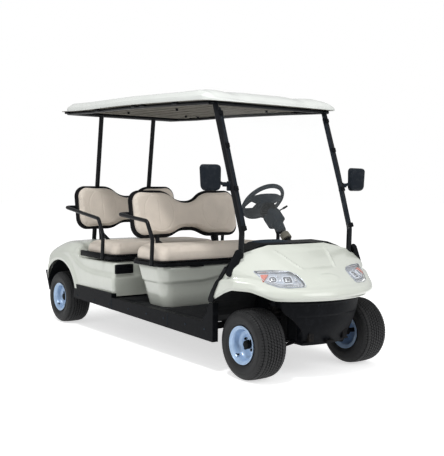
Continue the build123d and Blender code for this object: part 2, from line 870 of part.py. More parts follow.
# ================================================================ seats
seat_rows = [  # name, rear x, front x, half width, cushion base z, thickness, back foot x and z, recline
    (
        "front",
        front_bench_rear_x,
        front_bench_front_x,
        bench_half,
        front_base_z,
        front_thickness,
        *front_back_foot,
        front_recline,
    ),
    (
        "rear",
        rear_bench_rear_x,
        rear_bench_front_x,
        rear_bench_half,
        rear_base_z,
        rear_thickness,
        *rear_back_foot,
        rear_recline,
    ),
]
back_corners = [  # half of a backrest's outline before rounding: across, up, rounding radius
    (notch_half, hump_height - top_notch, notch_radius),
    (hump_foot, hump_height, notch_radius),
    (backrest_half, hump_height, back_corner_radius),
    (backrest_half, 0, back_corner_radius),
    (hump_foot, 0, notch_radius),
    (notch_half, bottom_notch, notch_radius),
]


def back_outline(plane, grow=0):
    """A backrest's two-humped outline on a plane whose origin is its lower middle, grown outwards."""
    with BuildSketch(plane) as outline:
        with BuildLine():
            near = [(across, up) for across, up, _ in back_corners]
            Polyline(*near, *[(-across, up) for across, up in reversed(near)], close=True)
        make_face()
        for radius in (notch_radius, back_corner_radius):
            corners = [
                corner
                for corner in outline.vertices()
                if any(
                    abs(abs(corner.X) - across) < 0.01 and abs(corner.Y - up) < 0.01 and rounding == radius
                    for across, up, rounding in back_corners
                )
            ]
            fillet(corners, radius)
        if grow:
            offset(amount=grow)
    return outline.sketch


behind = pad_thickness + shell_thickness + seat_tube_radius + 2 * seat_gap
for row, rear_x, front_x, half, base_z, thickness, back_x, back_z, recline in seat_rows:
    lean = sin(radians(recline))
    rise = cos(radians(recline))
    middle_x = (rear_x + front_x) / 2
    length = front_x - rear_x
    hinge_x = rear_x - 14
    hinge_z = base_z + thickness - hinge_drop
    hinge_places = (-hump_offset, hump_offset)

    with BuildPart() as tray:
        with BuildSketch(Plane.XY.offset(base_z - tray_height)):
            with Locations((middle_x, 0)):
                RectangleRounded(length + 16, 2 * half + 16, 60)
        extrude(amount=tray_height - seat_gap)
        for across in hinge_places:
            strap_span = (across - 14, across + 14)
            add_block((rear_x - 8, rear_x - 8 + hinge_strap), strap_span, (base_z - tray_height, hinge_z))
            with BuildSketch(Plane(origin=(hinge_x, across - 14, hinge_z), z_dir=(0, 1, 0))):
                Circle(hinge_eye_radius)
            extrude(amount=28)
            with BuildSketch(Plane(origin=(hinge_x, across - 15, hinge_z), z_dir=(0, 1, 0))):
                Circle(hinge_pin_radius + fit_clearance)
            extrude(amount=30, mode=Mode.SUBTRACT)
    save(tray, f"{row}_seat_tray")

    with BuildPart() as cushion:
        with BuildSketch(Plane.XY.offset(base_z)):
            with Locations((middle_x, 0)):
                RectangleRounded(length, 2 * half, 55)
        extrude(amount=thickness)
        fillet(cushion.faces().sort_by(Axis.Z)[-1].edges(), radius=34)
        for across in hinge_places:
            add_block(
                (rear_x - 10, rear_x + 6),
                (across - 20, across + 20),
                (base_z - 1, base_z + thickness + 1),
                mode=Mode.SUBTRACT,
            )
    save(cushion, f"{row}_cushion")

    back_plane = Plane(origin=(back_x, 0, back_z), x_dir=(0, 1, 0), z_dir=(rise, 0, lean))
    with BuildPart() as backrest:
        extrude(back_outline(back_plane), amount=-pad_thickness)
    save(backrest, f"{row}_backrest")

    with BuildPart() as back_shell:
        shell_plane = back_plane.offset(-pad_thickness - seat_gap)
        extrude(back_outline(shell_plane, shell_lip), amount=-shell_thickness)
    save(back_shell, f"{row}_back_shell")

    def back_point(across, up, depth):
        """A point in the backrest's own axes: across the bench, up its face and behind its face."""
        return (back_x - lean * up - rise * depth, across, back_z + rise * up - lean * depth)

    with BuildPart() as seat_frame:
        add_tube([back_point(-470, 195, behind), back_point(470, 195, behind)], seat_tube_radius)
        for across in hinge_places:
            add_tube(
                [
                    back_point(across, 250, behind),
                    back_point(across, -36, behind),
                    (hinge_x - 40, across, hinge_z + 10),
                    (hinge_x - 30, across, base_z - tray_height - 40),
                ],
                seat_tube_radius,
                24,
            )
            add_block(
                (hinge_x - 40, hinge_x - hinge_eye_radius - 6),
                (across - 22, across + 22),
                (hinge_z - hinge_eye_radius, hinge_z + hinge_eye_radius),
            )
            for ear in (-22, 16):
                add_block(
                    (hinge_x - 40, hinge_x),
                    (across + ear, across + ear + 6),
                    (hinge_z - hinge_eye_radius, hinge_z + hinge_eye_radius),
                )
            with BuildSketch(Plane(origin=(hinge_x, across - 22, hinge_z), z_dir=(0, 1, 0))):
                Circle(hinge_pin_radius)
            extrude(amount=44)
        if row == "rear":
            for across in hinge_places:
                add_tube([(-1266, across, deck_z - 40), post_head(across)], post_radius)
                brace = back_point(across, 195, behind)
                add_tube([brace, (-1222, across, brace[2])], seat_tube_radius)
            add_block((-1400, -1000), (-400, 400), (roof_tube_z(post_head_x), 2000), mode=Mode.SUBTRACT)
            add(roof_frame.part, mode=Mode.SUBTRACT)
            add_side_profile(tub_line, skirt_half, mode=Mode.SUBTRACT)
        else:
            add_block((-400, 400), (-700, 700), (0, seat_pan_z), mode=Mode.SUBTRACT)
    save(seat_frame, f"{row}_seat_frame")

    rest_start = back_point(470, 195, behind)
    with BuildPart() as armrests:
        add_tube(
            [
                rest_start,
                (rest_start[0], armrest_y, rest_start[2]),
                (front_x - 140, armrest_y, base_z + 307),
                (front_x - 61, armrest_y, base_z + 179),
                (front_x - 74, armrest_y, base_z - 20),
            ],
            seat_tube_radius,
            45,
        )
        mirror(about=Plane.XZ)
    save(armrests, f"{row}_armrests")

# ================================================================ screen
with BuildPart() as windshield:
    screen_foot = (1236, 0, 935)
    screen_head = (945, 0, 1760)
    with BuildSketch(
        Plane(
            origin=screen_foot,
            x_dir=(0, 1, 0),
            z_dir=(screen_head[2] - screen_foot[2], 0, screen_foot[0] - screen_head[0]),
        )
    ):
        with Locations((0, 437)):
            Rectangle(2 * screen_half, 874)
    extrude(amount=screen_thickness)
save(windshield, "windshield")

# ================================================================ steering
down_column = Vector(cos(radians(column_rake)), 0, -sin(radians(column_rake)))
wheel_centre = Vector(*steering_wheel_centre)
column_plane = Plane(origin=wheel_centre + down_column * (60 + seat_gap), x_dir=(0, 1, 0), z_dir=down_column)
with BuildPart() as steering_column:
    with BuildSketch(column_plane):
        Circle(column_radius)
    extrude(amount=column_length)
    with BuildSketch(column_plane.offset(10)):
        RectangleRounded(96, 110, 20)
    extrude(amount=150)
    add_block((1000, 1030), (250, 290), (620, 700))
    add(toe_board.part, mode=Mode.SUBTRACT)
    add(dashboard.part, mode=Mode.SUBTRACT)
save(steering_column, "steering_column")

with BuildPart() as steering_wheel:
    wheel_plane = Plane(origin=wheel_centre, x_dir=(0, 1, 0), z_dir=-down_column)
    with BuildSketch(Plane(origin=wheel_centre, x_dir=(0, 1, 0), z_dir=wheel_plane.y_dir)):
        with Locations((steering_wheel_radius - grip_radius, 0)):
            Circle(grip_radius)
    revolve(axis=Axis(wheel_centre, down_column))
    with BuildSketch(wheel_plane.offset(-40)):
        Circle(62)
    extrude(amount=40)
    with BuildSketch(wheel_plane.offset(-60)):
        Circle(18)
    extrude(amount=25)
    with BuildSketch(wheel_plane.offset(-18)):
        Rectangle(2 * steering_wheel_radius - 2 * grip_radius, 40)
    extrude(amount=16)
save(steering_wheel, "steering_wheel")

with BuildPart() as mirrors:
    with Locations((1118, 665, 1292)):
        Box(38, 190, 155)
    add_tube([(1104, 500, 1290), (1112, 580, 1290)], 9)
    mirror(about=Plane.XZ)
    add(front_pillars.part, mode=Mode.SUBTRACT)
save(mirrors, "mirrors")

with BuildPart() as pedals:
    for across in (200, 320):
        with Locations((905, across, 440)):
            Box(14, 70, 100)
        add_tube([(905, across, 445), (1004, across, 445)], 8)
    add(toe_board.part, mode=Mode.SUBTRACT)
save(pedals, "pedals")
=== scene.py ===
import json
import math

import bmesh
import bpy
from mathutils import Matrix, Vector


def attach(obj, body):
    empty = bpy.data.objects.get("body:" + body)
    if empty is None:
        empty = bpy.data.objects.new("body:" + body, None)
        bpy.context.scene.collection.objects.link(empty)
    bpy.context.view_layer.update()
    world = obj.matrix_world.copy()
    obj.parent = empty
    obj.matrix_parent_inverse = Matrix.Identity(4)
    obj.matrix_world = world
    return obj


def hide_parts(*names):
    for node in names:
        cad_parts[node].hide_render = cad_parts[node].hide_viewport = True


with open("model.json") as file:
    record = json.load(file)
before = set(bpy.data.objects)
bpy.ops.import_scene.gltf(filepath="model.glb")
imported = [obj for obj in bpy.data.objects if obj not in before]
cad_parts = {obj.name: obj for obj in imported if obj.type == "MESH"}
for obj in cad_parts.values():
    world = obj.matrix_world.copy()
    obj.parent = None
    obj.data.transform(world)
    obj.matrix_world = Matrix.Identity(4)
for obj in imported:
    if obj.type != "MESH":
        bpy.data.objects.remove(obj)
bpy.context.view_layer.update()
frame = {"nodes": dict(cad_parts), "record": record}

bl_info = {
    "name": "Golf Cart Dressing",
    "version": (1, 0, 0),
    "blender": (4, 5, 0),
    "location": "View3D > Sidebar > Golf Cart",
    "description": "Builds the body panels, seats, tyres and fittings of a four-seat golf cart",
    "category": "Object",
}

FRONT_AXLE = 1.31
REAR_AXLE = -1.31
TYRE_RADIUS = 0.2285


# ---------------------------------------------------------------- finishes
class Value:
    """A socket of a finish's node tree, on which arithmetic adds Math nodes."""

    def __init__(self, tree, socket):
        self.tree = tree
        self.socket = socket

    def joined(self, operation, *values):
        node = self.tree.nodes.new("ShaderNodeMath")
        node.operation = operation
        for place, value in zip(node.inputs, values):
            if isinstance(value, Value):
                self.tree.links.new(value.socket, place)
            else:
                place.default_value = value
        return Value(self.tree, node.outputs[0])

    def __add__(self, other):
        return self.joined("ADD", self, other)

    def __rsub__(self, other):
        return self.joined("SUBTRACT", other, self)

    def __mul__(self, other):
        return self.joined("MULTIPLY", self, other)

    __radd__ = __add__
    __rmul__ = __mul__


class Finish:
    """A new material, with one method that adds a node to its tree."""

    def __init__(self, name, **shader):
        self.material = bpy.data.materials.new(name)
        self.material.use_nodes = True
        self.tree = self.material.node_tree
        self.shader = self.tree.nodes["Principled BSDF"]
        for socket, value in shader.items():
            self.shader.inputs[socket.replace("_", " ")].default_value = value
        self.place = self.node("TexCoord", output="Object")

    def node(self, kind, settings=None, inputs=None, output=0):
        made = self.tree.nodes.new("ShaderNode" + kind)
        for name, value in (settings or {}).items():
            if name == "stops":
                ramp = made.color_ramp
                while len(ramp.elements) < len(value):
                    ramp.elements.new(0.5)
                for stop, (position, colour) in zip(ramp.elements, value):
                    stop.position = position
                    stop.color = colour
            else:
                setattr(made, name, value)
        for name, value in (inputs or {}).items():
            if isinstance(value, Value):
                self.tree.links.new(value.socket, made.inputs[name])
            else:
                made.inputs[name].default_value = value
        return Value(self.tree, made.outputs[output])

    def feed(self, socket, value):
        self.tree.links.new(value.socket, self.shader.inputs[socket])

    def noise(self, scale, detail=3.0, roughness=0.55, at=None):
        inputs = {"Vector": at or self.place, "Scale": scale, "Detail": detail, "Roughness": roughness}
        return self.node("TexNoise", None, inputs, "Fac")

    def ramp(self, factor, low, high, tone_low=0.0, tone_high=1.0):
        """A straight ramp of grey between two stops."""
        stops = [(low, (tone_low, tone_low, tone_low, 1)), (high, (tone_high, tone_high, tone_high, 1))]
        return self.node("ValToRGB", {"stops": stops}, {"Fac": factor}, "Color")

    def tint(self, factor, colour_a, colour_b):
        inputs = {0: factor, 6: colour_a, 7: colour_b}
        return self.node("Mix", {"data_type": "RGBA"}, inputs, 2)

    def raise_surface(self, height, distance, strength=1.0):
        inputs = {"Height": height, "Distance": distance, "Strength": strength}
        self.feed("Normal", self.node("Bump", None, inputs, "Normal"))

    def axis(self, name):
        return self.node("SeparateXYZ", None, {"Vector": self.place}, name)


def paint(name, colour, dark, roughness=0.16, coat=0.7):
    """Glossy gel-coat paint: faint mottle, orange peel and road dust low down."""
    made = Finish(name, Roughness=roughness, Coat_Weight=coat, Coat_Roughness=0.05, Specular_IOR_Level=0.5)
    mottle = made.noise(3.5, 4)
    clean = made.tint(made.ramp(mottle, 0.35, 0.7), colour, dark)
    dust = made.ramp(made.noise(38, 5), 0.5, 0.75, 0, 0.16) * made.ramp(made.axis("Z"), 0.3, 0.62, 1, 0)
    made.feed("Base Color", made.tint(dust, clean, (0.42, 0.4, 0.34, 1)))
    made.feed("Roughness", roughness + dust * 0.9 + made.noise(9, 2) * 0.05)
    made.raise_surface(made.noise(260, 1), 0.00025, 0.25)
    return made.material


def moulded(name, colour, worn, roughness=0.42, grain=900.0, depth=0.0005, metallic=0.0, coat=0.0):
    """Moulded or coated black parts: fine grain, scuffs paler than the ground colour."""
    shine = 0.5 if metallic else 0.05
    made = Finish(name, Roughness=roughness, Metallic=metallic, Coat_Weight=coat, Specular_IOR_Level=shine)
    scuffs = made.ramp(made.noise(22, 6, 0.7), 0.5, 0.72, 0, 1)
    made.feed("Base Color", made.tint(scuffs, colour, worn))
    made.feed("Roughness", roughness + scuffs * 0.12 + made.noise(60, 2) * 0.06)
    made.raise_surface(made.noise(grain, 2), depth, 0.5)
    return made.material


def vinyl(name, colour, deep):
    """Soft seat vinyl: pebbled leather grain, with shade painted into its folds, which leaves the crowns paler."""
    made = Finish(name, Roughness=0.48, Sheen_Weight=0.12, Specular_IOR_Level=0.42)
    warp = made.noise(240, 2)
    inputs = {"Vector": made.place, "Scale": 620.0, "Randomness": 0.9}
    cells = made.node("TexVoronoi", {"feature": "DISTANCE_TO_EDGE"}, inputs, "Distance")
    creases = made.ramp(cells, 0.02, 0.16)
    tone = made.tint(made.ramp(made.noise(5, 4), 0.3, 0.75), colour, deep)
    # Painted shade: the grain's creases pull the colour 30% towards the deeper tone, darkening the folds where shade
    # falls.
    made.feed("Base Color", made.tint((1 - creases) * 0.3, tone, deep))
    made.feed("Roughness", 0.46 + warp * 0.12)
    made.raise_surface(creases * 0.7 + warp * 0.5, 0.0006, 0.55)
    return made.material


def tyre_rubber():
    made = Finish("tyre_rubber", Roughness=0.7, Specular_IOR_Level=0.3)
    dust = made.ramp(made.noise(16, 6, 0.65), 0.45, 0.8, 0, 0.75)
    made.feed("Base Color", made.tint(dust, (0.011, 0.0115, 0.0125, 1), (0.030, 0.030, 0.031, 1)))
    made.feed("Roughness", 0.55 + dust * 0.2)
    made.raise_surface(made.noise(420, 3), 0.0006, 0.5)
    return made.material


def wheel_enamel():
    made = Finish("wheel_enamel", Roughness=0.3, Metallic=0.25, Coat_Weight=0.35, Coat_Roughness=0.12)
    mottle = made.noise(14, 4)
    tone = made.tint(made.ramp(mottle, 0.35, 0.7), (0.42, 0.57, 0.78, 1), (0.33, 0.47, 0.68, 1))
    chips = made.ramp(made.noise(90, 5, 0.7), 0.68, 0.72)
    made.feed("Base Color", made.tint(chips * 0.5, tone, (0.09, 0.1, 0.12, 1)))
    made.feed("Roughness", 0.26 + mottle * 0.14)
    made.raise_surface(made.noise(380, 2), 0.0003, 0.3)
    return made.material


def clear(name, tone, alpha, roughness=0.03):
    """Clear sheet: a thin see-through skin with a clean gloss and a trace of dust."""
    made = Finish(name, Roughness=roughness, Coat_Weight=0.0, Specular_IOR_Level=0.5)
    haze = made.ramp(made.noise(6, 5, 0.6), 0.45, 0.85)
    made.feed("Base Color", made.tint(haze, tone, (0.82, 0.84, 0.83, 1)))
    made.feed("Alpha", alpha + haze * 0.012)
    made.feed("Roughness", roughness + haze * 0.04)
    made.material.surface_render_method = "DITHERED"
    return made.material


def plated(name, colour, roughness=0.14):
    made = Finish(name, Metallic=1.0, Roughness=roughness)
    smear = made.noise(30, 4)
    made.feed("Base Color", made.tint(made.ramp(smear, 0.4, 0.8), colour, (0.45, 0.46, 0.48, 1)))
    made.feed("Roughness", roughness + smear * 0.12)
    made.raise_surface(made.noise(300, 2), 0.0002, 0.2)
    return made.material


def lit(name, colour, glow):
    """A lamp part: coloured plastic with a moulded optic pattern and a faint glow of its own."""
    made = Finish(name, Roughness=0.15, Coat_Weight=0.6, Emission_Strength=glow)
    inputs = {"Vector": made.place, "Scale": 260.0}
    facets = made.node("TexVoronoi", {"feature": "F1"}, inputs, "Distance")
    made.feed("Base Color", made.tint(facets, colour, tuple(0.6 * part for part in colour[:3]) + (1,)))
    made.feed("Emission Color", made.tint(facets, colour, tuple(0.8 * part for part in colour[:3]) + (1,)))
    made.raise_surface(facets, 0.0006, 0.5)
    return made.material


def carpet_mat():
    """Ribbed rubber floor mat with trodden dust."""
    made = Finish("footwell_mat", Roughness=0.75, Specular_IOR_Level=0.14)
    dust = made.ramp(made.noise(7, 6, 0.65), 0.4, 0.75, 0, 0.6)
    made.feed("Base Color", made.tint(dust, (0.011, 0.012, 0.014, 1), (0.035, 0.036, 0.036, 1)))
    made.feed("Roughness", 0.66 + dust * 0.25)
    wave = made.node(
        "TexWave",
        {"wave_type": "BANDS", "bands_direction": "X"},
        {"Vector": made.place, "Scale": 30.0, "Distortion": 0.0},
        "Fac",
    )
    made.raise_surface(wave + made.noise(500, 2) * 0.2, 0.0012, 0.6)
    return made.material


FINISHES = {}


def make_finishes(colours):
    body = tuple(colours.body_colour)
    seat = tuple(colours.seat_colour)
    black = (0.0060, 0.0067, 0.0082, 1)
    worn = (0.013, 0.014, 0.0165, 1)
    FINISHES.update(
        body_panel=paint("body_gelcoat", body, tuple(0.94 * part for part in body[:3]) + (1,)),
        roof_panel=paint("roof_gelcoat", (0.72, 0.745, 0.72, 1), (0.67, 0.70, 0.67, 1), 0.22, 0.5),
        roof_lining=moulded("roof_lining", (0.20, 0.19, 0.165, 1), (0.16, 0.15, 0.13, 1), 0.7, 500),
        seat_vinyl=vinyl("seat_vinyl", seat, tuple(0.82 * part for part in seat[:3]) + (1,)),
        black_plastic=moulded("black_mouldings", black, worn, 0.42, 700),
        black_tube=moulded("black_tube_coat", (0.0085, 0.0095, 0.0115, 1), worn, 0.3, 300, 0.0003, 0.0, 0.12),
        chassis_paint=moulded("chassis_paint", (0.008, 0.008, 0.009, 1), (0.03, 0.027, 0.024, 1), 0.55, 220),
        floor_mat=carpet_mat(),
        # Blue-grey ground and worn colours: a painted windscreen tint, the blue cast the glass lays over the steering
        # wheel, carried by every part with this finish.
        grip_rubber=moulded(
            "grip_painted_screen_tint", (0.021, 0.030, 0.041, 1), (0.032, 0.042, 0.055, 1), 0.5, 800, 0.0006
        ),
        wheel_paint=wheel_enamel(),
        tyre=tyre_rubber(),
        clear_screen=clear("clear_screen", (0.9, 0.94, 0.94, 1), 0.018),
        lamp_lens=clear("lamp_lens", (0.9, 0.93, 0.97, 1), 0.1),
        tail_lens=lit("tail_lens", (0.42, 0.012, 0.01, 1), 0.15),
        battery_case=moulded("battery_case", (0.02, 0.02, 0.022, 1), worn, 0.5, 200),
        motor_casting=moulded(
            "motor_casting", (0.2, 0.2, 0.2, 1), (0.3, 0.29, 0.28, 1), 0.5, 160, 0.0006, 0.7
        ),
        bright=plated("bright_plating", (0.8, 0.82, 0.86, 1), 0.2),
        lamp_silver=plated("lamp_silver", (0.50, 0.55, 0.63, 1), 0.34),
        mirror_glass=plated("mirror_glass", (0.85, 0.87, 0.88, 1), 0.02),
        piping=moulded("seat_piping", (0.012, 0.012, 0.013, 1), worn, 0.45, 600),
        amber=lit("amber_lens", (0.72, 0.13, 0.05, 1), 0.15),
        halo=lit("halo_ring", (0.72, 0.77, 0.85, 1), 0.3),
        lamp_black=moulded("lamp_well", (0.05, 0.058, 0.07, 1), (0.1, 0.11, 0.12, 1), 0.3, 300),
        screen_trim=moulded("screen_edging", (0.014, 0.018, 0.024, 1), (0.03, 0.034, 0.04, 1), 0.35, 300),
        gaiter=moulded("column_gaiter", (0.19, 0.18, 0.15, 1), (0.14, 0.13, 0.11, 1), 0.7, 400),
    )


# ---------------------------------------------------------------- bench helpers
def blend_table(table, at):
    """Read a table's rows at a position, with straight runs eased by a cubic through the rows beside it."""
    rows = sorted(table)
    if at <= rows[0][0]:
        return rows[0][1:]
    if at >= rows[-1][0]:
        return rows[-1][1:]
    index = max(place for place in range(len(rows) - 1) if rows[place][0] <= at)
    low, high = rows[index], rows[index + 1]
    before = rows[max(index - 1, 0)]
    after = rows[min(index + 2, len(rows) - 1)]
    span = high[0] - low[0]
    share = (at - low[0]) / span
    values = []
    for column in range(1, len(low)):
        rise = (high[column] - low[column]) / span
        back = (low[column] - before[column]) / (low[0] - before[0]) if index else rise
        on = (after[column] - high[column]) / (after[0] - high[0]) if index + 2 < len(rows) else rise
        start = 0.0 if rise * back <= 0 else 2 * rise * back / (rise + back)
        end = 0.0 if rise * on <= 0 else 2 * rise * on / (rise + on)
        values.append(
            low[column] * (2 * share**3 - 3 * share**2 + 1)
            + high[column] * (3 * share**2 - 2 * share**3)
            + span * start * (share**3 - 2 * share**2 + share)
            + span * end * (share**3 - share**2)
        )
    return tuple(values)


def ease(low, high, at):
    """Smooth step from 0 at low to 1 at high."""
    share = min(max((at - low) / (high - low), 0.0), 1.0)
    return share * share * (3 - 2 * share)


def bell(middle, half, at):
    """Smooth hump of height 1 at middle, 0 beyond half either side."""
    return 1 - ease(0, half, abs(at - middle))


def face_out(bm):
    """Turn the normals of a closed or nearly closed form outward."""
    bmesh.ops.recalc_face_normals(bm, faces=bm.faces[:])


def face_forward(bm):
    """Turn the normals of a sheet so that its foremost face looks forward."""
    face_out(bm)
    front = max(bm.faces, key=lambda face: face.calc_center_median().x)
    if front.normal.x < 0:
        bmesh.ops.reverse_faces(bm, faces=bm.faces[:])
    bm.normal_update()


def weld(bm, reach):
    """Merge all vertices that lie within a reach of each other."""
    bmesh.ops.remove_doubles(bm, verts=bm.verts[:], dist=reach)


def round_off(bm, parts, offset, segments=2, affect="EDGES", clamp=False):
    """Bevel edges or corners to an even round."""
    return bmesh.ops.bevel(
        bm,
        geom=parts,
        offset=offset,
        offset_type="OFFSET",
        segments=segments,
        profile=0.5,
        affect=affect,
        clamp_overlap=clamp,
        material=-1,
    )


def axes(across, up, out):
    """A turn whose local X, Y and Z point along three directions."""
    return Matrix((across, up, out)).transposed().to_4x4()


def on_circle(radius, angle, y=0.0):
    """A place on a circle about the Y axis."""
    return Vector((radius * math.cos(angle), y, radius * math.sin(angle)))


def add_sheet(bm, columns, rows, place):
    """Lay a grid and set each vertex by place(across, along), both from 0 to 1."""
    made = bmesh.ops.create_grid(bm, x_segments=columns, y_segments=rows, size=0.5)
    for vertex in made["verts"]:
        vertex.co = place(vertex.co.x + 0.5, vertex.co.y + 0.5)
    return made["verts"]


def add_box(bm, low, high, bevel=0.0, segments=2, turn=None):
    """Add a bevelled block between two corners, turned about its own middle."""
    low, high = Vector(low), Vector(high)
    made = bmesh.ops.create_cube(bm, size=1)["verts"]
    bmesh.ops.scale(bm, vec=high - low, verts=made)
    if bevel:
        edges = list({edge for vertex in made for edge in vertex.link_edges})
        beveled = round_off(bm, edges, bevel, segments, clamp=True)
        made = list({vertex for face in beveled["faces"] for vertex in face.verts} | set(made))
        made = [vertex for vertex in made if vertex.is_valid]
    if turn:
        bmesh.ops.transform(bm, matrix=turn, verts=made)
    bmesh.ops.translate(bm, vec=(low + high) / 2, verts=made)


def add_rod(bm, start, end, radius, end_radius=None, sides=20, bevel=0.0):
    """Add a capped round bar or cone between two points."""
    start, end = Vector(start), Vector(end)
    along = end - start
    turn = along.to_track_quat("Z", "Y").to_matrix().to_4x4()
    made = bmesh.ops.create_cone(
        bm,
        cap_ends=True,
        segments=sides,
        radius1=radius,
        radius2=radius if end_radius is None else end_radius,
        depth=along.length,
        matrix=Matrix.Translation((start + end) / 2) @ turn,
    )["verts"]
    if bevel:
        rims = [e for e in {e for v in made for e in v.link_edges} if len(e.link_faces) == 2]
        rims = [e for e in rims if any(len(face.verts) > 4 for face in e.link_faces)]
        round_off(bm, rims, bevel)


def add_run(bm, points, radius, closed=False, sides=3, order=3, smooth=5):
    """Add a round bead along a smooth run of points."""
    data = bpy.data.curves.new("run", "CURVE")
    data.dimensions = "3D"
    data.resolution_u = smooth
    data.bevel_depth = radius
    data.bevel_resolution = sides
    data.use_fill_caps = not closed
    spline = data.splines.new("NURBS")
    spline.points.add(len(points) - 1)
    for point, place in zip(spline.points, points):
        point.co = (*place, 1)
    spline.use_cyclic_u = closed
    spline.use_endpoint_u = not closed
    spline.order_u = order
    carrier = bpy.data.objects.new("run", data)
    mesh = bpy.data.meshes.new_from_object(carrier)
    bm.from_mesh(mesh)
    bpy.data.objects.remove(carrier)
    bpy.data.curves.remove(data)
    bpy.data.meshes.remove(mesh)


def link_object(name, bm):
    """Put a bmesh into a new object of the scene."""
    mesh = bpy.data.meshes.new(name)
    bm.to_mesh(mesh)
    bm.free()
    made = bpy.data.objects.new(name, mesh)
    bpy.context.scene.collection.objects.link(made)
    return made


def new_piece(name, bm, slot, body="root", finish=None, stands_for=(), sharp=32.0):
    """Turn a bmesh into a named piece that rides on a body and wears a finish."""
    for face in bm.faces:
        face.smooth = True
    piece = link_object(name, bm)
    piece.data.materials.append(FINISHES[finish or slot])
    piece.data.set_sharp_from_angle(angle=math.radians(sharp))
    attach(piece, body)
    if stands_for:
        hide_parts(*stands_for)
    return piece


def add_modifier(piece, kind, **settings):
    modifier = piece.modifiers.new(kind.title(), kind)
    for name, value in settings.items():
        setattr(modifier, name, value)
    return modifier


def settle(piece):
    """Apply a piece's modifiers to its own mesh."""
    bpy.context.view_layer.update()
    ready = piece.evaluated_get(bpy.context.evaluated_depsgraph_get())
    mesh = bpy.data.meshes.new_from_object(ready)
    old = piece.data
    piece.modifiers.clear()
    piece.data = mesh
    bpy.data.meshes.remove(old)
    return piece


def add_slab(bm, outline, levels, turn=None, back=()):
    """Add a closed slab of a flat outline: levels give depth and inset from its widest ring on, back the same behind.

    The outline is a list of corners, each with how far along its edges its rounding starts.
    """
    place = turn or Matrix()
    ring = [bm.verts.new((x, y, levels[0][0])) for x, y, _ in outline]
    known = set(bm.verts) - set(ring)
    bm.faces.new(ring)
    for offset in sorted({corner[2] for corner in outline if corner[2]}):
        corners = [vertex for vertex, corner in zip(ring, outline) if vertex.is_valid and corner[2] == offset]
        round_off(bm, corners, offset, 9, "VERTICES")
    made = set(bm.verts) - known
    front = next(face for face in bm.faces if set(face.verts) <= made)
    front.normal_update()
    if front.normal.z < 0:
        front.normal_flip()
    behind = next(
        part for part in bmesh.ops.duplicate(bm, geom=[front])["geom"] if isinstance(part, bmesh.types.BMFace)
    )
    behind.normal_flip()
    for face, steps, way in ((front, levels[1:], 1), (behind, back, -1)):
        depth, inset = levels[0]
        for next_depth, next_inset in steps:
            bmesh.ops.inset_region(
                bm,
                faces=[face],
                thickness=max(next_inset - inset, 0.00002),
                depth=way * (next_depth - depth),
                use_boundary=True,
                use_even_offset=True,
            )
            depth, inset = next_depth, next_inset
    fresh = [vertex for vertex in bm.verts if vertex not in known]
    bmesh.ops.remove_doubles(bm, verts=fresh, dist=0.000005)
    fresh = [vertex for vertex in bm.verts if vertex not in known]
    bmesh.ops.transform(bm, matrix=place, verts=fresh)


def thicken(bm, faces, wall):
    """Close a sheet into a wall: a copy of its faces set back along its own normals, joined round its border."""
    bm.normal_update()
    corners = {vertex for face in faces for vertex in face.verts}
    inner = {vertex: bm.verts.new(vertex.co - vertex.normal * wall) for vertex in corners}
    border = [edge for edge in {edge for face in faces for edge in face.edges} if edge.is_boundary]
    for face in faces:
        bm.faces.new([inner[vertex] for vertex in reversed(face.verts)])
    for edge in border:
        first, second = [loop.vert for loop in edge.link_loops[0].face.loops if loop.vert in edge.verts]
        if edge.link_loops[0].vert is not first:
            first, second = second, first
        bm.faces.new((second, first, inner[first], inner[second]))


def oblong(half_x, half_y, corner):
    """Outline of a rounded rectangle for add_slab."""
    return [(x * half_x, y * half_y, corner) for x, y in ((1, 1), (-1, 1), (-1, -1), (1, -1))]


# ---------------------------------------------------------------- roof
ROOF_FRONT = 1.02
ROOF_REAR = -1.3
ROOF_UNDERSIDE = [
    (ROOF_REAR, 1.875),
    (-1.15, 1.870),
    (-0.8, 1.857),
    (-0.2, 1.847),
    (0.4, 1.826),
    (0.85, 1.806),
    (ROOF_FRONT, 1.797),
]


def corner_pull(radius, reach):
    """How far a rounded plan corner draws the side in, at a distance from the end."""
    if reach >= radius:
        return 0.0
    return radius - math.sqrt(max(radius**2 - (radius - reach) ** 2, 0.0))


def roof_point(across, along):
    """The roof's upper skin: across from right to left, along from front to rear."""
    side = 2 * across - 1
    run = (1 - math.cos(math.pi * along)) / 2 * 0.6 + along * 0.4
    bow = 0.03 * side * side
    x = ROOF_FRONT - bow + (ROOF_REAR + 0.02 * side * side - ROOF_FRONT + bow) * run
    half = 0.6 - corner_pull(0.09, ROOF_FRONT - bow - x) - corner_pull(
        0.2, x - ROOF_REAR - 0.02 * side * side
    )
    side = math.copysign(abs(side) ** 0.75, side)
    y = half * side
    inward = half - abs(y)
    ends = ease(ROOF_FRONT, 0.8, x) * ease(ROOF_REAR, -1.08, x)
    nose = ease(ROOF_FRONT, 0.35, x)
    rise = 0.012 + 0.023 * ease(0, 0.5, ends)
    rise += 0.039 * ease(0.0, 0.06, inward) * ends
    rise -= 0.007 * bell(0.085, 0.03, inward) * ends
    rise += 0.034 * nose * ends * ease(0.09, 0.42, inward)
    rise += 0.010 * bell(0.46, 0.16, abs(y)) * bell(0.82, 0.25, x)
    rise -= 0.006 * bell(0.284, 0.1, abs(y)) * ease(0.1, 0.8, x)
    return Vector((x, y, blend_table(ROOF_UNDERSIDE, x)[0] + rise))


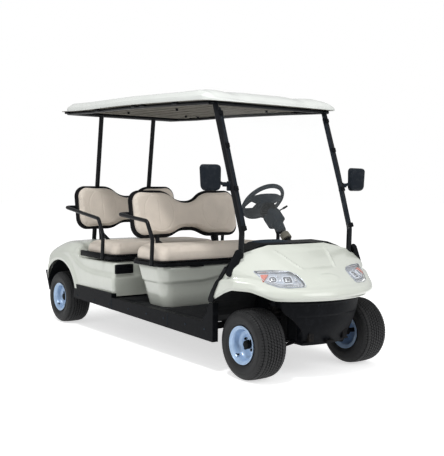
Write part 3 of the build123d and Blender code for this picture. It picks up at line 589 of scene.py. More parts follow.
def make_roof():
    """The roof's pressed skin with its rolled edge."""
    bm = bmesh.new()
    add_sheet(bm, 44, 70, roof_point)
    for drop, draw in ((0.0, 0.0015), (-0.001, -0.001), (0.004, -0.012)):
        rim = [edge for edge in bm.edges if edge.is_boundary]
        fresh = bmesh.ops.extrude_edge_only(bm, edges=rim)["geom"]
        for vertex in (part for part in fresh if isinstance(part, bmesh.types.BMVert)):
            foot = blend_table(ROOF_UNDERSIDE, vertex.co.x)[0]
            outward = Vector((vertex.co.x * 0.4, vertex.co.y, 0)).normalized()
            vertex.co += outward * draw
            vertex.co.z = foot + drop
    face_out(bm)
    roof = new_piece("roof_skin", bm, "roof_panel", stands_for=["roof"], sharp=60)
    add_modifier(roof, "SUBSURF", levels=1, render_levels=1)
    settle(roof)


def make_roof_ribs():
    """Pressed ribs across the lining and the clips that hold it to the frame."""
    bm = bmesh.new()
    for x in [0.72 - 0.16 * place for place in range(11)]:
        height = blend_table(ROOF_UNDERSIDE, x)[0]
        add_box(bm, (x - 0.02, -0.5, height - 0.006), (x + 0.02, 0.5, height + 0.002), 0.003)
    new_piece("roof_ribs", bm, "roof_lining")
    bm = bmesh.new()
    for x, side in (
        (-1.18, -1), (-0.62, -1), (-0.02, -1), (0.1, -1), (0.55, -1), (-1.18, 1), (-0.62, 1), (0.1, 1)
    ):
        height = blend_table(ROOF_UNDERSIDE, x)[0]
        add_box(
            bm,
            (x - 0.03, side * 0.572 - 0.012, height - 0.018),
            (x + 0.03, side * 0.572 + 0.012, height),
            0.004,
        )
    new_piece("roof_frame_clips", bm, "black_plastic")


# ---------------------------------------------------------------- front cowl
COWL_LEVELS = [  # height, nose x, x where the nose arc meets the side, half width
    (0.440, 1.618, 1.290, 0.590),
    (0.515, 1.636, 1.296, 0.596),
    (0.545, 1.643, 1.298, 0.599),
    (0.575, 1.628, 1.294, 0.598),
    (0.602, 1.592, 1.288, 0.596),
    (0.650, 1.520, 1.272, 0.591),
    (0.700, 1.440, 1.255, 0.580),
    (0.745, 1.370, 1.234, 0.550),
    (0.788, 1.304, 1.212, 0.490),
    (0.822, 1.252, 1.204, 0.372),
    (0.846, 1.216, 1.200, 0.250),
]
COWL_FOOT = [  # x, height of the cowl's lower edge
    (1.010, 0.471),
    (1.063, 0.471),
    (1.120, 0.510),
    (1.200, 0.556),
    (1.283, 0.577),
    (1.370, 0.574),
    (1.430, 0.552),
    (1.500, 0.520),
    (1.650, 0.515),
]
COWL_REAR = [(0.471, 1.010), (0.560, 1.071), (0.650, 1.130), (0.765, 1.196), (0.900, 1.196)]
COWL_TOP = 0.846
ARC_SHARE = 0.74
CREASE = [
    (0.0, 0.604), (0.35, 0.602), (0.52, 0.626), (0.64, 0.648), (0.80, 0.655), (1.0, 0.636)
]  # share, height


def cowl_line(share, height):
    """A point of the cowl's outer form: share runs from -1 to 1 round the nose at a height."""
    nose, shoulder, half = blend_table(COWL_LEVELS, height)
    rear = blend_table(COWL_REAR, height)[0]
    sag = nose - shoulder
    radius = (half * half + sag * sag) / (2 * sag)
    turn = math.asin(min(half / radius, 1.0))
    reach = abs(share)
    side = math.copysign(1.0, share)
    if reach <= ARC_SHARE:
        angle = turn * reach / ARC_SHARE
        return Vector((nose - radius + radius * math.cos(angle), side * radius * math.sin(angle), height))
    back = (reach - ARC_SHARE) / (1 - ARC_SHARE)
    return Vector((shoulder + (rear - shoulder) * back, side * half, height))


def cowl_x(across, height):
    """How far forward the cowl lies at a place in the front view."""
    nose, shoulder, half = blend_table(COWL_LEVELS, height)
    sag = nose - shoulder
    radius = (half * half + sag * sag) / (2 * sag)
    return nose - radius + math.sqrt(max(radius**2 - across**2, 0.0))


def cowl_out(share, height):
    """Level direction straight out of the cowl's form."""
    nose, shoulder, half = blend_table(COWL_LEVELS, height)
    sag = nose - shoulder
    turn = math.asin(min(2 * half * sag / (half * half + sag * sag), 1.0))
    reach = abs(share)
    angle = turn * min(reach / ARC_SHARE, 1.0) + (math.pi / 2 - turn) * ease(
        ARC_SHARE, ARC_SHARE + 0.08, reach
    )
    return Vector((math.cos(angle), math.copysign(math.sin(angle), share), 0))


def cowl_point(across, along):
    """The cowl's skin: the form with its rolled lip, the crease above it and the hood's two ribs."""
    share = 2 * across - 1
    foot = blend_table(COWL_FOOT, cowl_line(share, 0.555).x)[0]
    height = foot + (COWL_TOP - foot) * along
    point = cowl_line(share, height)
    below = blend_table(CREASE, abs(share))[0] - height
    swell = 0.011 * ease(0.0, 0.022, below) - 0.014 * ease(0.024, 0.0, height - foot)
    swell -= 0.005 * bell(-0.007, 0.02, below)
    rib_y = 0.148 + 0.74 * (height - 0.703)
    rib = ease(0.692, 0.715, height) * ease(0.828, 0.80, height)
    inner = abs(point.y) - rib_y
    lifted = (0.0055 * bell(0.0, 0.011, inner) - 0.003 * ease(0.004, -0.012, inner)) * rib
    lifted += 0.0022 * ease(1.0, 0.93, math.hypot(point.y / 0.088, (height - 0.645) / 0.024))
    return point + cowl_out(share, height) * (swell + lifted) + Vector((0, 0, lifted))


LAMP_OUTLINE = [  # front view of a headlight: y, z
    (0.476, 0.698),
    (0.365, 0.701),
    (0.262, 0.694),
    (0.224, 0.677),
    (0.214, 0.642),
    (0.224, 0.605),
    (0.332, 0.600),
    (0.398, 0.604),
    (0.440, 0.630),
]


def lamp_prism(grow):
    """A closed bar through the nose with both headlights' outlines, for cutting."""
    bm = bmesh.new()
    middle = Vector((0.33, 0.655))
    for side in (1, -1):
        outline = []
        for y, z in LAMP_OUTLINE:
            away = (Vector((y, z)) - middle).normalized() * grow
            outline.append((side * (y + away.x), z + away.y, 0.011))
        turn = Matrix(((0, 0, 1, 0), (1, 0, 0, 0), (0, 1, 0, 0), (0, 0, 0, 1)))
        add_slab(bm, outline, [(1.2, 0.0), (1.7, 0.0)], turn)
    face_out(bm)
    return link_object("lamp_cutter", bm)


def cut(piece, cutter, operation="DIFFERENCE"):
    add_modifier(piece, "BOOLEAN", object=cutter, operation=operation, solver="EXACT")
    settle(piece)
    bpy.data.objects.remove(cutter)
    piece.data.set_sharp_from_angle(angle=math.radians(32))


def cowl_shell(bm, columns, rows, lift, wall):
    """A closed wall on the cowl's form, lifted off it and given a thickness."""
    add_sheet(bm, columns, rows, cowl_point)
    face_forward(bm)
    if lift:
        for vertex, normal in [(vertex, vertex.normal.copy()) for vertex in bm.verts]:
            vertex.co += normal * lift
    thicken(bm, bm.faces[:], wall)


def make_front_cowl():
    """The cowl's wall, open where the headlights sit."""
    bm = bmesh.new()
    cowl_shell(bm, 132, 64, 0.0, 0.005)
    cowl = new_piece("front_cowl_skin", bm, "body_panel", stands_for=["front_cowl"], sharp=40)
    cut(cowl, lamp_prism(0.0015))


def add_cowl_strip(bm, side, start, stop, low, high, lift, wall, cells=(6, 40)):
    """Add a closed strip that follows the cowl's skin, between two shares and two heights."""
    known = set(bm.verts)

    def place(across, along):
        share = start + (stop - start) * across
        height = low + (high - low) * along
        foot = blend_table(COWL_FOOT, cowl_line(share, 0.555).x)[0]
        point = cowl_point((1 + side * share) / 2, (height - foot) / (COWL_TOP - foot))
        return point + cowl_out(side * share, height) * lift

    add_sheet(bm, *cells, place)
    made = [vertex for vertex in bm.verts if vertex not in known]
    faces = list({face for vertex in made for face in vertex.link_faces})
    if side > 0:
        bmesh.ops.reverse_faces(bm, faces=faces)
    bm.normal_update()
    thicken(bm, faces, wall)


def make_cowl_trim():
    """The black band round the cowl's rear edge and the pads that close the feet of the pillars."""
    bm = bmesh.new()
    for side in (-1, 1):
        add_cowl_strip(bm, side, 0.958, 0.9995, 0.478, 0.782, 0.003, 0.007)
    places = [0.47 * (step / 8 - 1) for step in range(17)]
    head = [Vector((1.199, y, 0.850 - 0.135 * (abs(y) / 0.5) ** 3.0)) for y in places]
    add_run(bm, head, 0.006)
    new_piece("cowl_rear_band", bm, "black_plastic", sharp=50)
    bm = bmesh.new()
    for side in (-1, 1):
        foot, head = Vector((1.222, side * 0.594, 0.667)), Vector((1.232, side * 0.516, 0.822))
        along = (head - foot).normalized()
        out = (Vector((0.15, side, 0.45)) - along * Vector((0.15, side, 0.45)).dot(along)).normalized()
        wide = along.cross(out)
        turn = axes(wide, along, out)
        turn.translation = (foot + head) / 2
        reach = (head - foot).length / 2 + 0.006
        levels = [(-0.006, 0.0), (0.006, 0.0), (0.0105, 0.003), (0.0125, 0.009)]
        add_slab(bm, oblong(0.026, reach, 0.0255), levels, turn, [(-0.02, 0.001)])
    new_piece("pillar_pads", bm, "black_plastic", sharp=25)


SHIELD = [  # height, half width of the bumper's shield
    (0.205, 0.186),
    (0.222, 0.192),
    (0.290, 0.206),
    (0.372, 0.262),
    (0.452, 0.340),
    (0.510, 0.354),
]
SHIELD_FOOT = 0.212
SHIELD_HEAD = 0.508
SHIELD_FACE = 0.86  # share of the shield's sheet that faces forward, the rest turns back at its sides


def make_bumper():
    """The black shield below the lip, with its pressed upper panel, and the tray that closes the nose below."""
    bm = bmesh.new()

    def shield(across, along):
        side = 2 * across - 1
        height = SHIELD_FOOT + (SHIELD_HEAD - SHIELD_FOOT) * along
        half = blend_table(SHIELD, height)[0]
        y = half * min(abs(side) / SHIELD_FACE, 1.0)
        x = 1.574 - 0.13 * (y / 0.38) ** 2
        panel = min(height - 0.412, 0.318 - 0.55 * (SHIELD_HEAD - height) - y)
        x -= 0.013 * ease(0.004, -0.010, panel) + 0.050 * ease(0.41, 0.20, height) ** 2
        x += 0.004 * bell(0.494, 0.012, height)
        # The return is short between the tyres' foot and top, where they pass it at full lock.
        room = 0.008 + 0.040 * (ease(0.32, 0.28, height) + ease(0.455, 0.48, height))
        x -= max(abs(side) - SHIELD_FACE, 0.0) / 0.14 * room
        return Vector((x, math.copysign(y, side), height))

    add_sheet(bm, 120, 80, shield)
    face_forward(bm)
    thicken(bm, bm.faces[:], 0.006)
    new_piece("front_bumper_shield", bm, "black_plastic", stands_for=["front_bumper"], sharp=38)
    bm = bmesh.new()
    add_box(bm, (0.985, -0.205, 0.226), (1.505, 0.205, 0.236), 0.004, 2)
    for side in (-1, 1):
        add_box(bm, (0.985, side * 0.199 - 0.003, 0.232), (1.49, side * 0.199 + 0.003, 0.50), 0.002, 1)
        for place in range(5):
            x = 1.06 + 0.095 * place
            add_box(
                bm,
                (x - 0.006, side * 0.205 - 0.004, 0.24),
                (x + 0.006, side * 0.205 + 0.004, 0.495),
                0.003,
                1,
            )
        add_box(bm, (1.40, side * 0.29 - 0.095, 0.475), (1.404, side * 0.29 + 0.095, 0.545), 0.002, 1)
    new_piece("nose_undertray", bm, "black_plastic", sharp=30)


# ---------------------------------------------------------------- headlights
AMBER_WEDGE = [(0.020, 0.017, 0.004), (-0.036, 0.020, 0.005), (0.008, -0.046, 0.005)]  # across, up, corner
LAMP_UNITS = [(0.389, 0.652, 0.029, 0.026), (0.303, 0.649, 0.034, 0.016)]  # y, z, half size, corner


def lamp_axes(side, y, z, sink):
    """Axes of a unit inside a headlight: local X across, local Y up, local Z out of the lamp."""
    reach = 0.01
    here = Vector((cowl_x(y, z), side * y, z))
    across = (Vector((cowl_x(y + reach, z), side * (y + reach), z)) - here).normalized() * side
    up = (Vector((cowl_x(y, z + reach), side * y, z + reach)) - here).normalized()
    out = across.cross(up).normalized()
    turn = axes(across, out.cross(across), out)
    turn.translation = here + out * sink
    return turn


def make_headlights():
    """Lamp wells with their units, wedges and rails, below clear covers."""
    bm = bmesh.new()
    cowl_shell(bm, 120, 60, -0.012, 0.012)
    well = new_piece("lamp_wells", bm, "lamp_lens", finish="lamp_silver", stands_for=["headlights"])
    cut(well, lamp_prism(0.002), "INTERSECT")
    rims, bowls, eyes, amber, chrome = (bmesh.new() for _ in range(5))
    for side in (-1, 1):
        for y, z, half, corner in LAMP_UNITS:
            turn = lamp_axes(side, y, z, -0.011)
            flat = [(-0.006, 0.0), (0.004, 0.0), (0.0065, 0.002), (0.0065, 0.0055), (0.0, 0.007)]
            add_slab(rims, oblong(half, half, corner), flat, turn)
            add_slab(
                bowls,
                oblong(half - 0.006, half - 0.006, corner * 0.75),
                [(-0.001, 0.0), (0.0042, 0.001)],
                turn,
            )
            add_slab(
                chrome,
                oblong(half * 0.5, half * 0.5, half * 0.3),
                [(0.003, 0.0), (0.0055, 0.001), (0.007, 0.004)],
                turn,
            )
            add_rod(
                eyes,
                turn @ Vector((0, 0, 0.006)),
                turn @ Vector((0, 0, 0.009)),
                half * 0.30,
                half * 0.22,
                28,
                0.001,
            )
        turn = lamp_axes(side, 0.433, 0.666, -0.007)
        wedge = [(side * x, up, corner) for x, up, corner in AMBER_WEDGE]
        add_slab(amber, wedge, [(-0.005, 0.0), (0.003, 0.0), (0.005, 0.003)], turn)
        for y, z, half in (
            (0.346, 0.648, 0.007), (0.346, 0.672, 0.005), (0.250, 0.648, 0.009), (0.236, 0.624, 0.006)
        ):
            turn = lamp_axes(side, y, z, -0.009)
            add_slab(
                chrome,
                oblong(half, half * 1.3, half * 0.6),
                [(-0.006, 0.0), (0.003, 0.0), (0.004, 0.002)],
                turn,
            )
        for shift in (0.0, 0.010):
            rail = []
            for y, z in ((0.236, 0.610), (0.320, 0.609), (0.390, 0.611), (0.428, 0.632)):
                rail.append(Vector((cowl_x(y, z + shift) - 0.008, side * y, z + shift)))
            add_run(chrome, rail, 0.0035)
        rail = [Vector((cowl_x(y, 0.690) - 0.008, side * y, 0.6905)) for y in (0.45, 0.40, 0.32, 0.262)]
        add_run(chrome, rail, 0.004)
    new_piece("lamp_halos", rims, "lamp_lens", finish="halo")
    new_piece("lamp_bowls", bowls, "lamp_lens", finish="lamp_black")
    new_piece("lamp_projectors", eyes, "lamp_lens", finish="lamp_black")
    new_piece("turn_signals", amber, "lamp_lens", finish="amber")
    new_piece("lamp_reflectors", chrome, "lamp_lens", finish="bright")
    bm = bmesh.new()
    cowl_shell(bm, 120, 60, 0.0015, 0.002)
    lens = new_piece("lamp_covers", bm, "lamp_lens")
    cut(lens, lamp_prism(0.0), "INTERSECT")
    bm = bmesh.new()
    for side in (-1, 1):
        ring = [Vector((cowl_x(y, z) + 0.001, side * y, z)) for y, z in LAMP_OUTLINE]
        dense = []
        for first, second in zip(ring, ring[1:] + ring[:1]):
            for step in range(4):
                spot = first.lerp(second, step / 4)
                dense.append(Vector((cowl_x(abs(spot.y), spot.z) + 0.0005, spot.y, spot.z)))
        add_run(bm, dense, 0.0016, closed=True, sides=2)
    new_piece("lamp_gaskets", bm, "lamp_lens", finish="lamp_silver")


# ---------------------------------------------------------------- rear body and seat box
TUB_TOP = [  # x, height of the top at the middle
    (-1.655, 0.560),
    (-1.640, 0.591),
    (-1.625, 0.621),
    (-1.600, 0.638),
    (-1.540, 0.666),
    (-1.470, 0.693),
    (-1.300, 0.738),
    (-1.150, 0.749),
    (-1.080, 0.744),
    (-1.030, 0.722),
    (-1.000, 0.690),
    (-0.985, 0.655),
    (-0.972, 0.624),
    (-0.955, 0.612),
    (-0.300, 0.612),
]
TUB_BELT = [(-1.1, 0.64), (-0.96, 0.568), (-0.81, 0.526), (-0.6, 0.512), (-0.3, 0.510)]
ARCH_X = -1.29
ARCH_Z = 0.245
ARCH_RADIUS = 0.32
TUB_FRONT = -0.300
TUB_CORNER = 0.03
TUB_REAR = -1.655


def tub_foot(x):
    """Height of the rear body's lower edge, over the wheel arch where it opens."""
    base = 0.345 + 0.095 * ease(-1.60, -1.655, x)
    gap = ARCH_RADIUS**2 - (x - ARCH_X) ** 2
    return max(base, ARCH_Z + math.sqrt(gap)) if gap > 0 else base


def tub_station(along):
    """Where a share of the rear body's length lies, closer together round its corners and its arch."""
    if along < 0.04:
        return TUB_FRONT - TUB_CORNER * (1 - math.cos(math.pi / 2 * along / 0.04))
    if along < 0.42:
        return TUB_FRONT - TUB_CORNER + (-0.965 - TUB_FRONT + TUB_CORNER) * (along - 0.04) / 0.38
    if along < 0.8:
        return ARCH_X + 0.325 * math.cos(math.pi * (along - 0.42) / 0.38)
    if along < 0.9:
        return ARCH_X - 0.325 + (-1.642 - ARCH_X + 0.325) * (along - 0.8) / 0.1
    return -1.642 - 0.013 * math.sin(math.pi / 2 * (along - 0.9) / 0.1)


def tub_point(across, along):
    """Rear body skin: across from its right foot over the top to its left foot, along from front to rear."""
    side = 2 * across - 1
    reach = abs(side)
    sign = math.copysign(1.0, side)
    closing = min(along / 0.05, (1 - along) / 0.05, 1.0)
    x = tub_station(min(max((along - 0.05) / 0.9, 0.0), 1.0))
    half = 0.590 - corner_pull(TUB_CORNER, TUB_FRONT - x) - corner_pull(0.15, x - TUB_REAR)
    top = blend_table(TUB_TOP, x)[0]
    foot = tub_foot(x)
    haunch = ease(-0.95, -1.08, x)
    round_h = 0.02 + 0.12 * haunch
    round_v = min(0.014 + 0.085 * haunch, max(top - foot, 0.01) * 0.85)
    crown = 0.014 * haunch
    if reach < 0.4:
        y = (half - round_h) * reach / 0.4
        z = top - crown * (y / half) ** 2
    elif reach < 0.62:
        turn = math.pi / 2 * (reach - 0.4) / 0.22
        y = half - round_h + round_h * math.sin(turn)
        z = top - crown * (y / half) ** 2 - round_v * (1 - math.cos(turn))
    else:
        y = half
        high = top - crown - round_v
        z = high + (foot - high) * (reach - 0.62) / 0.38
    belt = blend_table(TUB_BELT, x)[0]
    fore = ease(-1.14, -1.0, x)
    ledge = min(max((z - belt + 0.013) / 0.026, 0.0), 1.0)
    tuck = 0.016 * ledge * fore + 0.016 * ease(0.49, 0.34, z) * ease(-1.0, -0.4, x)
    y -= min(tuck, max(y, 0))
    ring = math.hypot(x - ARCH_X, z - ARCH_Z)
    if reach > 0.5:
        y += 0.014 * bell(0.342, 0.05, ring) * ease(0.68, 0.56, z)
    lean = 0.0
    if x > -0.372:
        lean = -0.030 * ease(0.60, 0.34, z) - 0.016 * ledge
        lean *= ease(-0.372, TUB_FRONT - 0.01, x)
    return Vector((x + lean, sign * y * closing, z))


def make_rear_body():
    """The rear body's skin, as one closed form."""
    bm = bmesh.new()
    add_sheet(bm, 108, 190, tub_point)
    weld(bm, 0.0002)
    bmesh.ops.dissolve_degenerate(bm, dist=0.0001, edges=bm.edges[:])
    face_out(bm)
    new_piece("rear_body_skin", bm, "body_panel", stands_for=["rear_body"], sharp=36)


def add_ring_wall(bm, rings):
    """Skin a wall through level rings of equal count, each a list of places."""
    count = len(rings[0])
    last = len(rings) - 1

    def place(across, along):
        return Vector(rings[round(along * last)][round(across * count) % count])

    bmesh.ops.remove_doubles(bm, verts=add_sheet(bm, count, last, place), dist=0.00001)


PER_CORNER = 8
PER_SIDE = 10


def rounded_ring(low_x, high_x, half, radius, z):
    """A level rounded rectangle of points."""
    corners = [
        (high_x - radius, half - radius, 0),
        (low_x + radius, half - radius, 90),
        (low_x + radius, radius - half, 180),
        (high_x - radius, radius - half, 270),
    ]
    points = []
    for x, y, start in corners:
        for step in range(PER_CORNER + 1):
            angle = math.radians(start + 90 * step / PER_CORNER)
            points.append(Vector((x + radius * math.cos(angle), y + radius * math.sin(angle), z)))
    smooth = []
    for place, point in enumerate(points):
        after = points[(place + 1) % len(points)]
        smooth.append(point)
        if (place + 1) % (PER_CORNER + 1) == 0:
            smooth += [point.lerp(after, step / PER_SIDE) for step in range(1, PER_SIDE)]
    return smooth


BOX_LEVELS = [  # height, rear x, front x, half width, corner radius
    (0.331, 0.020, 0.316, 0.478, 0.075),
    (0.345, 0.014, 0.322, 0.484, 0.080),
    (0.430, 0.000, 0.330, 0.505, 0.085),
    (0.500, -0.012, 0.336, 0.520, 0.088),
    (0.512, -0.014, 0.338, 0.523, 0.088),
    (0.521, -0.022, 0.347, 0.532, 0.090),
    (0.535, -0.024, 0.350, 0.535, 0.090),
    (0.600, -0.036, 0.350, 0.546, 0.090),
    (0.632, -0.042, 0.348, 0.550, 0.090),
    (0.638, -0.046, 0.342, 0.545, 0.088),
]


def make_seat_box():
    """The pod that carries the front bench."""
    bm = bmesh.new()
    rings = []
    for height, rear, front, half, radius in BOX_LEVELS:
        ring = rounded_ring(rear, front, half, radius, height)
        for point in ring:
            point.z += 0.036 * ease(
                -0.18, 0.06, point.y
            ) * ease(0.10, 0.30, point.x) * bell(0.517, 0.11, height)
        rings.append(ring)
    add_ring_wall(bm, rings)
    face_out(bm)
    new_piece("front_seat_pod", bm, "body_panel", stands_for=["front_seat_box"], sharp=50)


def make_body_trim():
    """Side vent with its slats, tail lamp frames and the seat latch tabs."""
    bm = bmesh.new()
    frame_x = -0.306
    add_box(bm, (frame_x - 0.008, -0.575, 0.527), (frame_x + 0.006, -0.410, 0.602), 0.006, 3)
    for place in range(5):
        z = 0.54 + 0.0125 * place
        turn = Matrix.Rotation(0.5, 4, "Y")
        add_box(
            bm, (frame_x + 0.003, -0.564, z - 0.0022), (frame_x + 0.011, -0.421, z + 0.0022), 0.001, 1, turn
        )
    new_piece("side_vent", bm, "black_plastic", sharp=25)
    bm = bmesh.new()
    for side in (-1, 1):
        ring = [(x, side * y, z) for x, z in ((-1.6275, 0.6195), (-1.6505, 0.5705)) for y in (0.355, 0.495)]
        ring[2], ring[3] = ring[3], ring[2]
        add_run(bm, ring, 0.0045, closed=True, order=2)
    new_piece("tail_lamp_frames", bm, "black_plastic")
    bm = bmesh.new()
    add_box(bm, (0.345, -0.298, 0.628), (0.372, -0.188, 0.645), 0.004, 2)
    add_box(bm, (-0.395, -0.298, 0.622), (-0.382, -0.188, 0.634), 0.003, 2)
    new_piece("seat_latch_tab", bm, "black_plastic", body="root")


# ---------------------------------------------------------------- seats
SEATS = {
    "front": dict(
        rear=-0.050, front=0.365, half=0.565, base=0.666, thick=0.118, back=(-0.089, 0.835), recline=12.4
    ),
    "rear": dict(
        rear=-0.925, front=-0.400, half=0.540, base=0.654, thick=0.104, back=(-1.052, 0.857), recline=9.5
    ),
}


def swell(piece, voxel, pressure, cap, floor=None):
    """Blow a pad up as cloth from a remeshed copy, cap how far it moves and keep its underside flat."""
    add_modifier(piece, "REMESH", mode="VOXEL", voxel_size=voxel)
    settle(piece)
    start = [vertex.co.copy() for vertex in piece.data.vertices]
    cloth = piece.modifiers.new("Cloth", "CLOTH")
    cloth.settings.quality = 4
    cloth.settings.use_pressure = True
    cloth.settings.uniform_pressure_force = pressure
    cloth.settings.tension_stiffness = 12
    cloth.settings.compression_stiffness = 12
    cloth.settings.bending_stiffness = 0.6
    cloth.settings.effector_weights.gravity = 0
    cloth.point_cache.frame_start = 1
    cloth.point_cache.frame_end = 20
    for number in range(1, 21):
        bpy.context.scene.frame_set(number)
    settle(piece)
    bpy.context.scene.frame_set(1)
    for vertex, before in zip(piece.data.vertices, start):
        move = vertex.co - before
        if move.length > cap:
            vertex.co = before + move.normalized() * cap
        if floor is not None and vertex.co.z < floor:
            vertex.co.z = floor
    add_modifier(piece, "SUBSURF", levels=1, render_levels=1)
    settle(piece)
    piece.data.shade_smooth()


def back_frame(row):
    """A backrest's own axes as a matrix: across the bench, up its face, and out of its face."""
    recline = math.radians(SEATS[row]["recline"])
    lean, rise = math.sin(recline), math.cos(recline)
    x, z = SEATS[row]["back"]
    return Matrix(((0, -lean, rise, x), (1, 0, 0, 0), (0, rise, lean, z), (0, 0, 0, 1)))


BACK_CORNERS = [  # half of a backrest's outline: across, up, where each corner's rounding starts
    (0.070, 0.285, 0.062),
    (0.180, 0.372, 0.0615),
    (0.510, 0.372, 0.090),
    (0.510, 0.000, 0.0905),
    (0.180, 0.000, 0.041),
    (0.070, 0.053, 0.0405),
]


def back_outline():
    """Two-humped outline of a backrest in its own axes."""
    return BACK_CORNERS + [(-y, z, corner) for y, z, corner in reversed(BACK_CORNERS)]


def press_line(piece, distance, depth, width):
    """Press a sewn line into a pad: distance gives each place's distance from the line and its direction in."""
    for vertex in piece.data.vertices:
        away, inward = distance(vertex.co)
        if away < width:
            vertex.co += inward * depth * (1 - (away / width) ** 2) ** 2


def make_backrests():
    """Backrest pads with their sewn rings, and the piping behind them."""
    for row in SEATS:
        turn = back_frame(row)
        bm = bmesh.new()
        levels = [(-0.030, 0.006), (-0.014, 0.007), (-0.007, 0.013), (-0.003, 0.026), (-0.002, 0.05)]
        outline = [(y * 0.988, 0.186 + (z - 0.186) * 0.967, corner) for y, z, corner in back_outline()]
        levels = [(depth, inset - 0.006) for depth, inset in levels]
        add_slab(bm, outline, levels, turn, [(-0.040, 0.002), (-0.0445, 0.008)])
        bmesh.ops.triangulate(bm, faces=[face for face in bm.faces if len(face.verts) > 4])
        face_out(bm)
        pad = new_piece(f"{row}_back_pad", bm, "seat_vinyl", stands_for=[f"{row}_backrest"], sharp=180)
        swell(pad, 0.006, 3.5, 0.012)
        inverse = turn.inverted()
        inward = (turn.to_3x3() @ Vector((0, 0, -1))).normalized()

        def sewn(co):
            place = inverse @ co
            y, z = abs(place.x) - 0.275, place.y - 0.195
            if place.z < -0.025:
                return 1.0, inward
            ring = abs(math.hypot(y, z / 1.12) - 0.135)
            middle = math.hypot(y, max(abs(z) - 0.10, 0.0))
            return min(ring, middle), inward

        press_line(pad, sewn, 0.0022, 0.007)
        bm = bmesh.new()
        outline = [(y * 1.002, 0.186 + (z - 0.186) * 1.005, corner) for y, z, corner in back_outline()]
        add_slab(bm, outline, [(-0.0445, 0.0), (-0.039, 0.001), (-0.0365, 0.005)], turn)
        new_piece(f"{row}_back_piping", bm, "seat_vinyl", finish="piping")


def make_cushions():
    """Seat pads with their sewn lines, and the piping round their feet."""
    for row, seat in SEATS.items():
        body = f"{row}_lid"
        top = seat["base"] + seat["thick"] - 0.012
        bm = bmesh.new()
        rings = []
        for z, inset, radius in (
            (seat["base"] + 0.001, 0.016, 0.05),
            (seat["base"] + 0.008, 0.006, 0.056),
            (seat["base"] + 0.030, 0.003, 0.06),
            (top - 0.050, 0.004, 0.06),
            (top - 0.030, 0.008, 0.06),
            (top - 0.013, 0.020, 0.055),
            (top - 0.003, 0.040, 0.050),
            (top + 0.003, 0.070, 0.040),
        ):
            rings.append(
                rounded_ring(seat["rear"] + inset, seat["front"] - inset, seat["half"] - inset, radius, z)
            )
        add_ring_wall(bm, rings)
        bmesh.ops.holes_fill(bm, edges=[edge for edge in bm.edges if edge.is_boundary], sides=0)
        bmesh.ops.triangulate(bm, faces=[face for face in bm.faces if len(face.verts) > 4])
        face_out(bm)
        pad = new_piece(f"{row}_seat_pad", bm, "seat_vinyl", body, stands_for=[f"{row}_cushion"], sharp=180)
        swell(pad, 0.007, 4.0, 0.014, seat["base"] + 0.001)
        down = Vector((0, 0, -1))
        middle_x = (seat["rear"] + seat["front"]) / 2

        def sewn(co):
            if co.z < top - 0.02:
                return 1.0, down
            y = abs(co.y)
            dip = 0.03 * (y / 0.5) ** 2
            return min(
                abs(co.x - (seat["front"] - 0.085 - dip)), 1.0 if co.x > middle_x else abs(y - 0.03)
            ), down

        press_line(pad, sewn, 0.004, 0.009)
        bm = bmesh.new()
        rim = rounded_ring(
            seat["rear"] + 0.006, seat["front"] - 0.002, seat["half"] - 0.002, 0.058, seat["base"] + 0.012
        )
        add_run(bm, rim, 0.006, closed=True, order=3, smooth=2)
        new_piece(f"{row}_seat_piping", bm, "seat_vinyl", body, finish="piping")


# ---------------------------------------------------------------- wheels
WHEELS = [
    ("front_left", FRONT_AXLE, 0.455),
    ("front_right", FRONT_AXLE, -0.455),
    ("rear_left", REAR_AXLE, 0.489),
    ("rear_right", REAR_AXLE, -0.489),
]
TYRE_SECTION = [  # across the tyre from its middle, radius
    (0.000, 0.2275),
    (0.040, 0.2270),
    (0.066, 0.2250),
    (0.084, 0.2205),
    (0.096, 0.2120),
    (0.1035, 0.1990),
    (0.1070, 0.1830),
    (0.1075, 0.1680),
    (0.1050, 0.1530),
    (0.0990, 0.1380),
    (0.0930, 0.1275),
    (0.0900, 0.1200),
]
GROOVES = (0.0115, 0.0335, 0.0550)
TEETH = 72


def tread_point(across, along):
    """One point of a tyre about the Y axis: across from bead to bead, along once round."""
    side = 2 * across - 1
    reach = abs(side)
    if reach < 0.70:
        offset = 0.088 * reach / 0.70
        radius = blend_table(TYRE_SECTION, offset)[0]
    else:
        step = 3.3 + (reach - 0.70) / 0.30 * (len(TYRE_SECTION) - 4.3)
        index = min(int(step), len(TYRE_SECTION) - 2)
        low, high = TYRE_SECTION[index], TYRE_SECTION[index + 1]
        offset = low[0] + (high[0] - low[0]) * (step - index)
        radius = low[1] + (high[1] - low[1]) * (step - index)
    tooth = (along * TEETH) % 1.0
    zigzag = 0.0085 * (abs(2 * tooth - 1) - 0.5)
    for place, groove in enumerate(GROOVES):
        radius -= 0.008 * min(1.6 * bell(groove + zigzag * (1 if place % 2 else -1), 0.0052, offset), 1.0)
    if 0.068 < offset < 0.100 and reach < 0.84:
        radius -= 0.004 * (0.40 < tooth < 0.62) * ease(0.068, 0.078, offset)
    angle = 2 * math.pi * along
    return on_circle(radius, angle, math.copysign(offset, side))


def make_tyres():
    """Tyres with zigzag grooves, shoulder notches and raised rings."""
    for place, x, y in WHEELS:
        bm = bmesh.new()
        add_sheet(bm, 100, 432, tread_point)
        weld(bm, 0.00002)
        face_out(bm)
        for side in (-1, 1):
            for radius, depth in ((0.186, 0.1068), (0.150, 0.1035)):
                ring = [on_circle(radius, 2 * math.pi * step / 72, side * depth) for step in range(72)]
                add_run(bm, ring, 0.0013, closed=True, order=3, sides=1, smooth=2)
        bmesh.ops.translate(bm, vec=(x, y, TYRE_RADIUS), verts=bm.verts[:])
        new_piece(f"tyre_{place}_tread", bm, "tyre", f"wheel_{place}", stands_for=[f"tyre_{place}"], sharp=28)


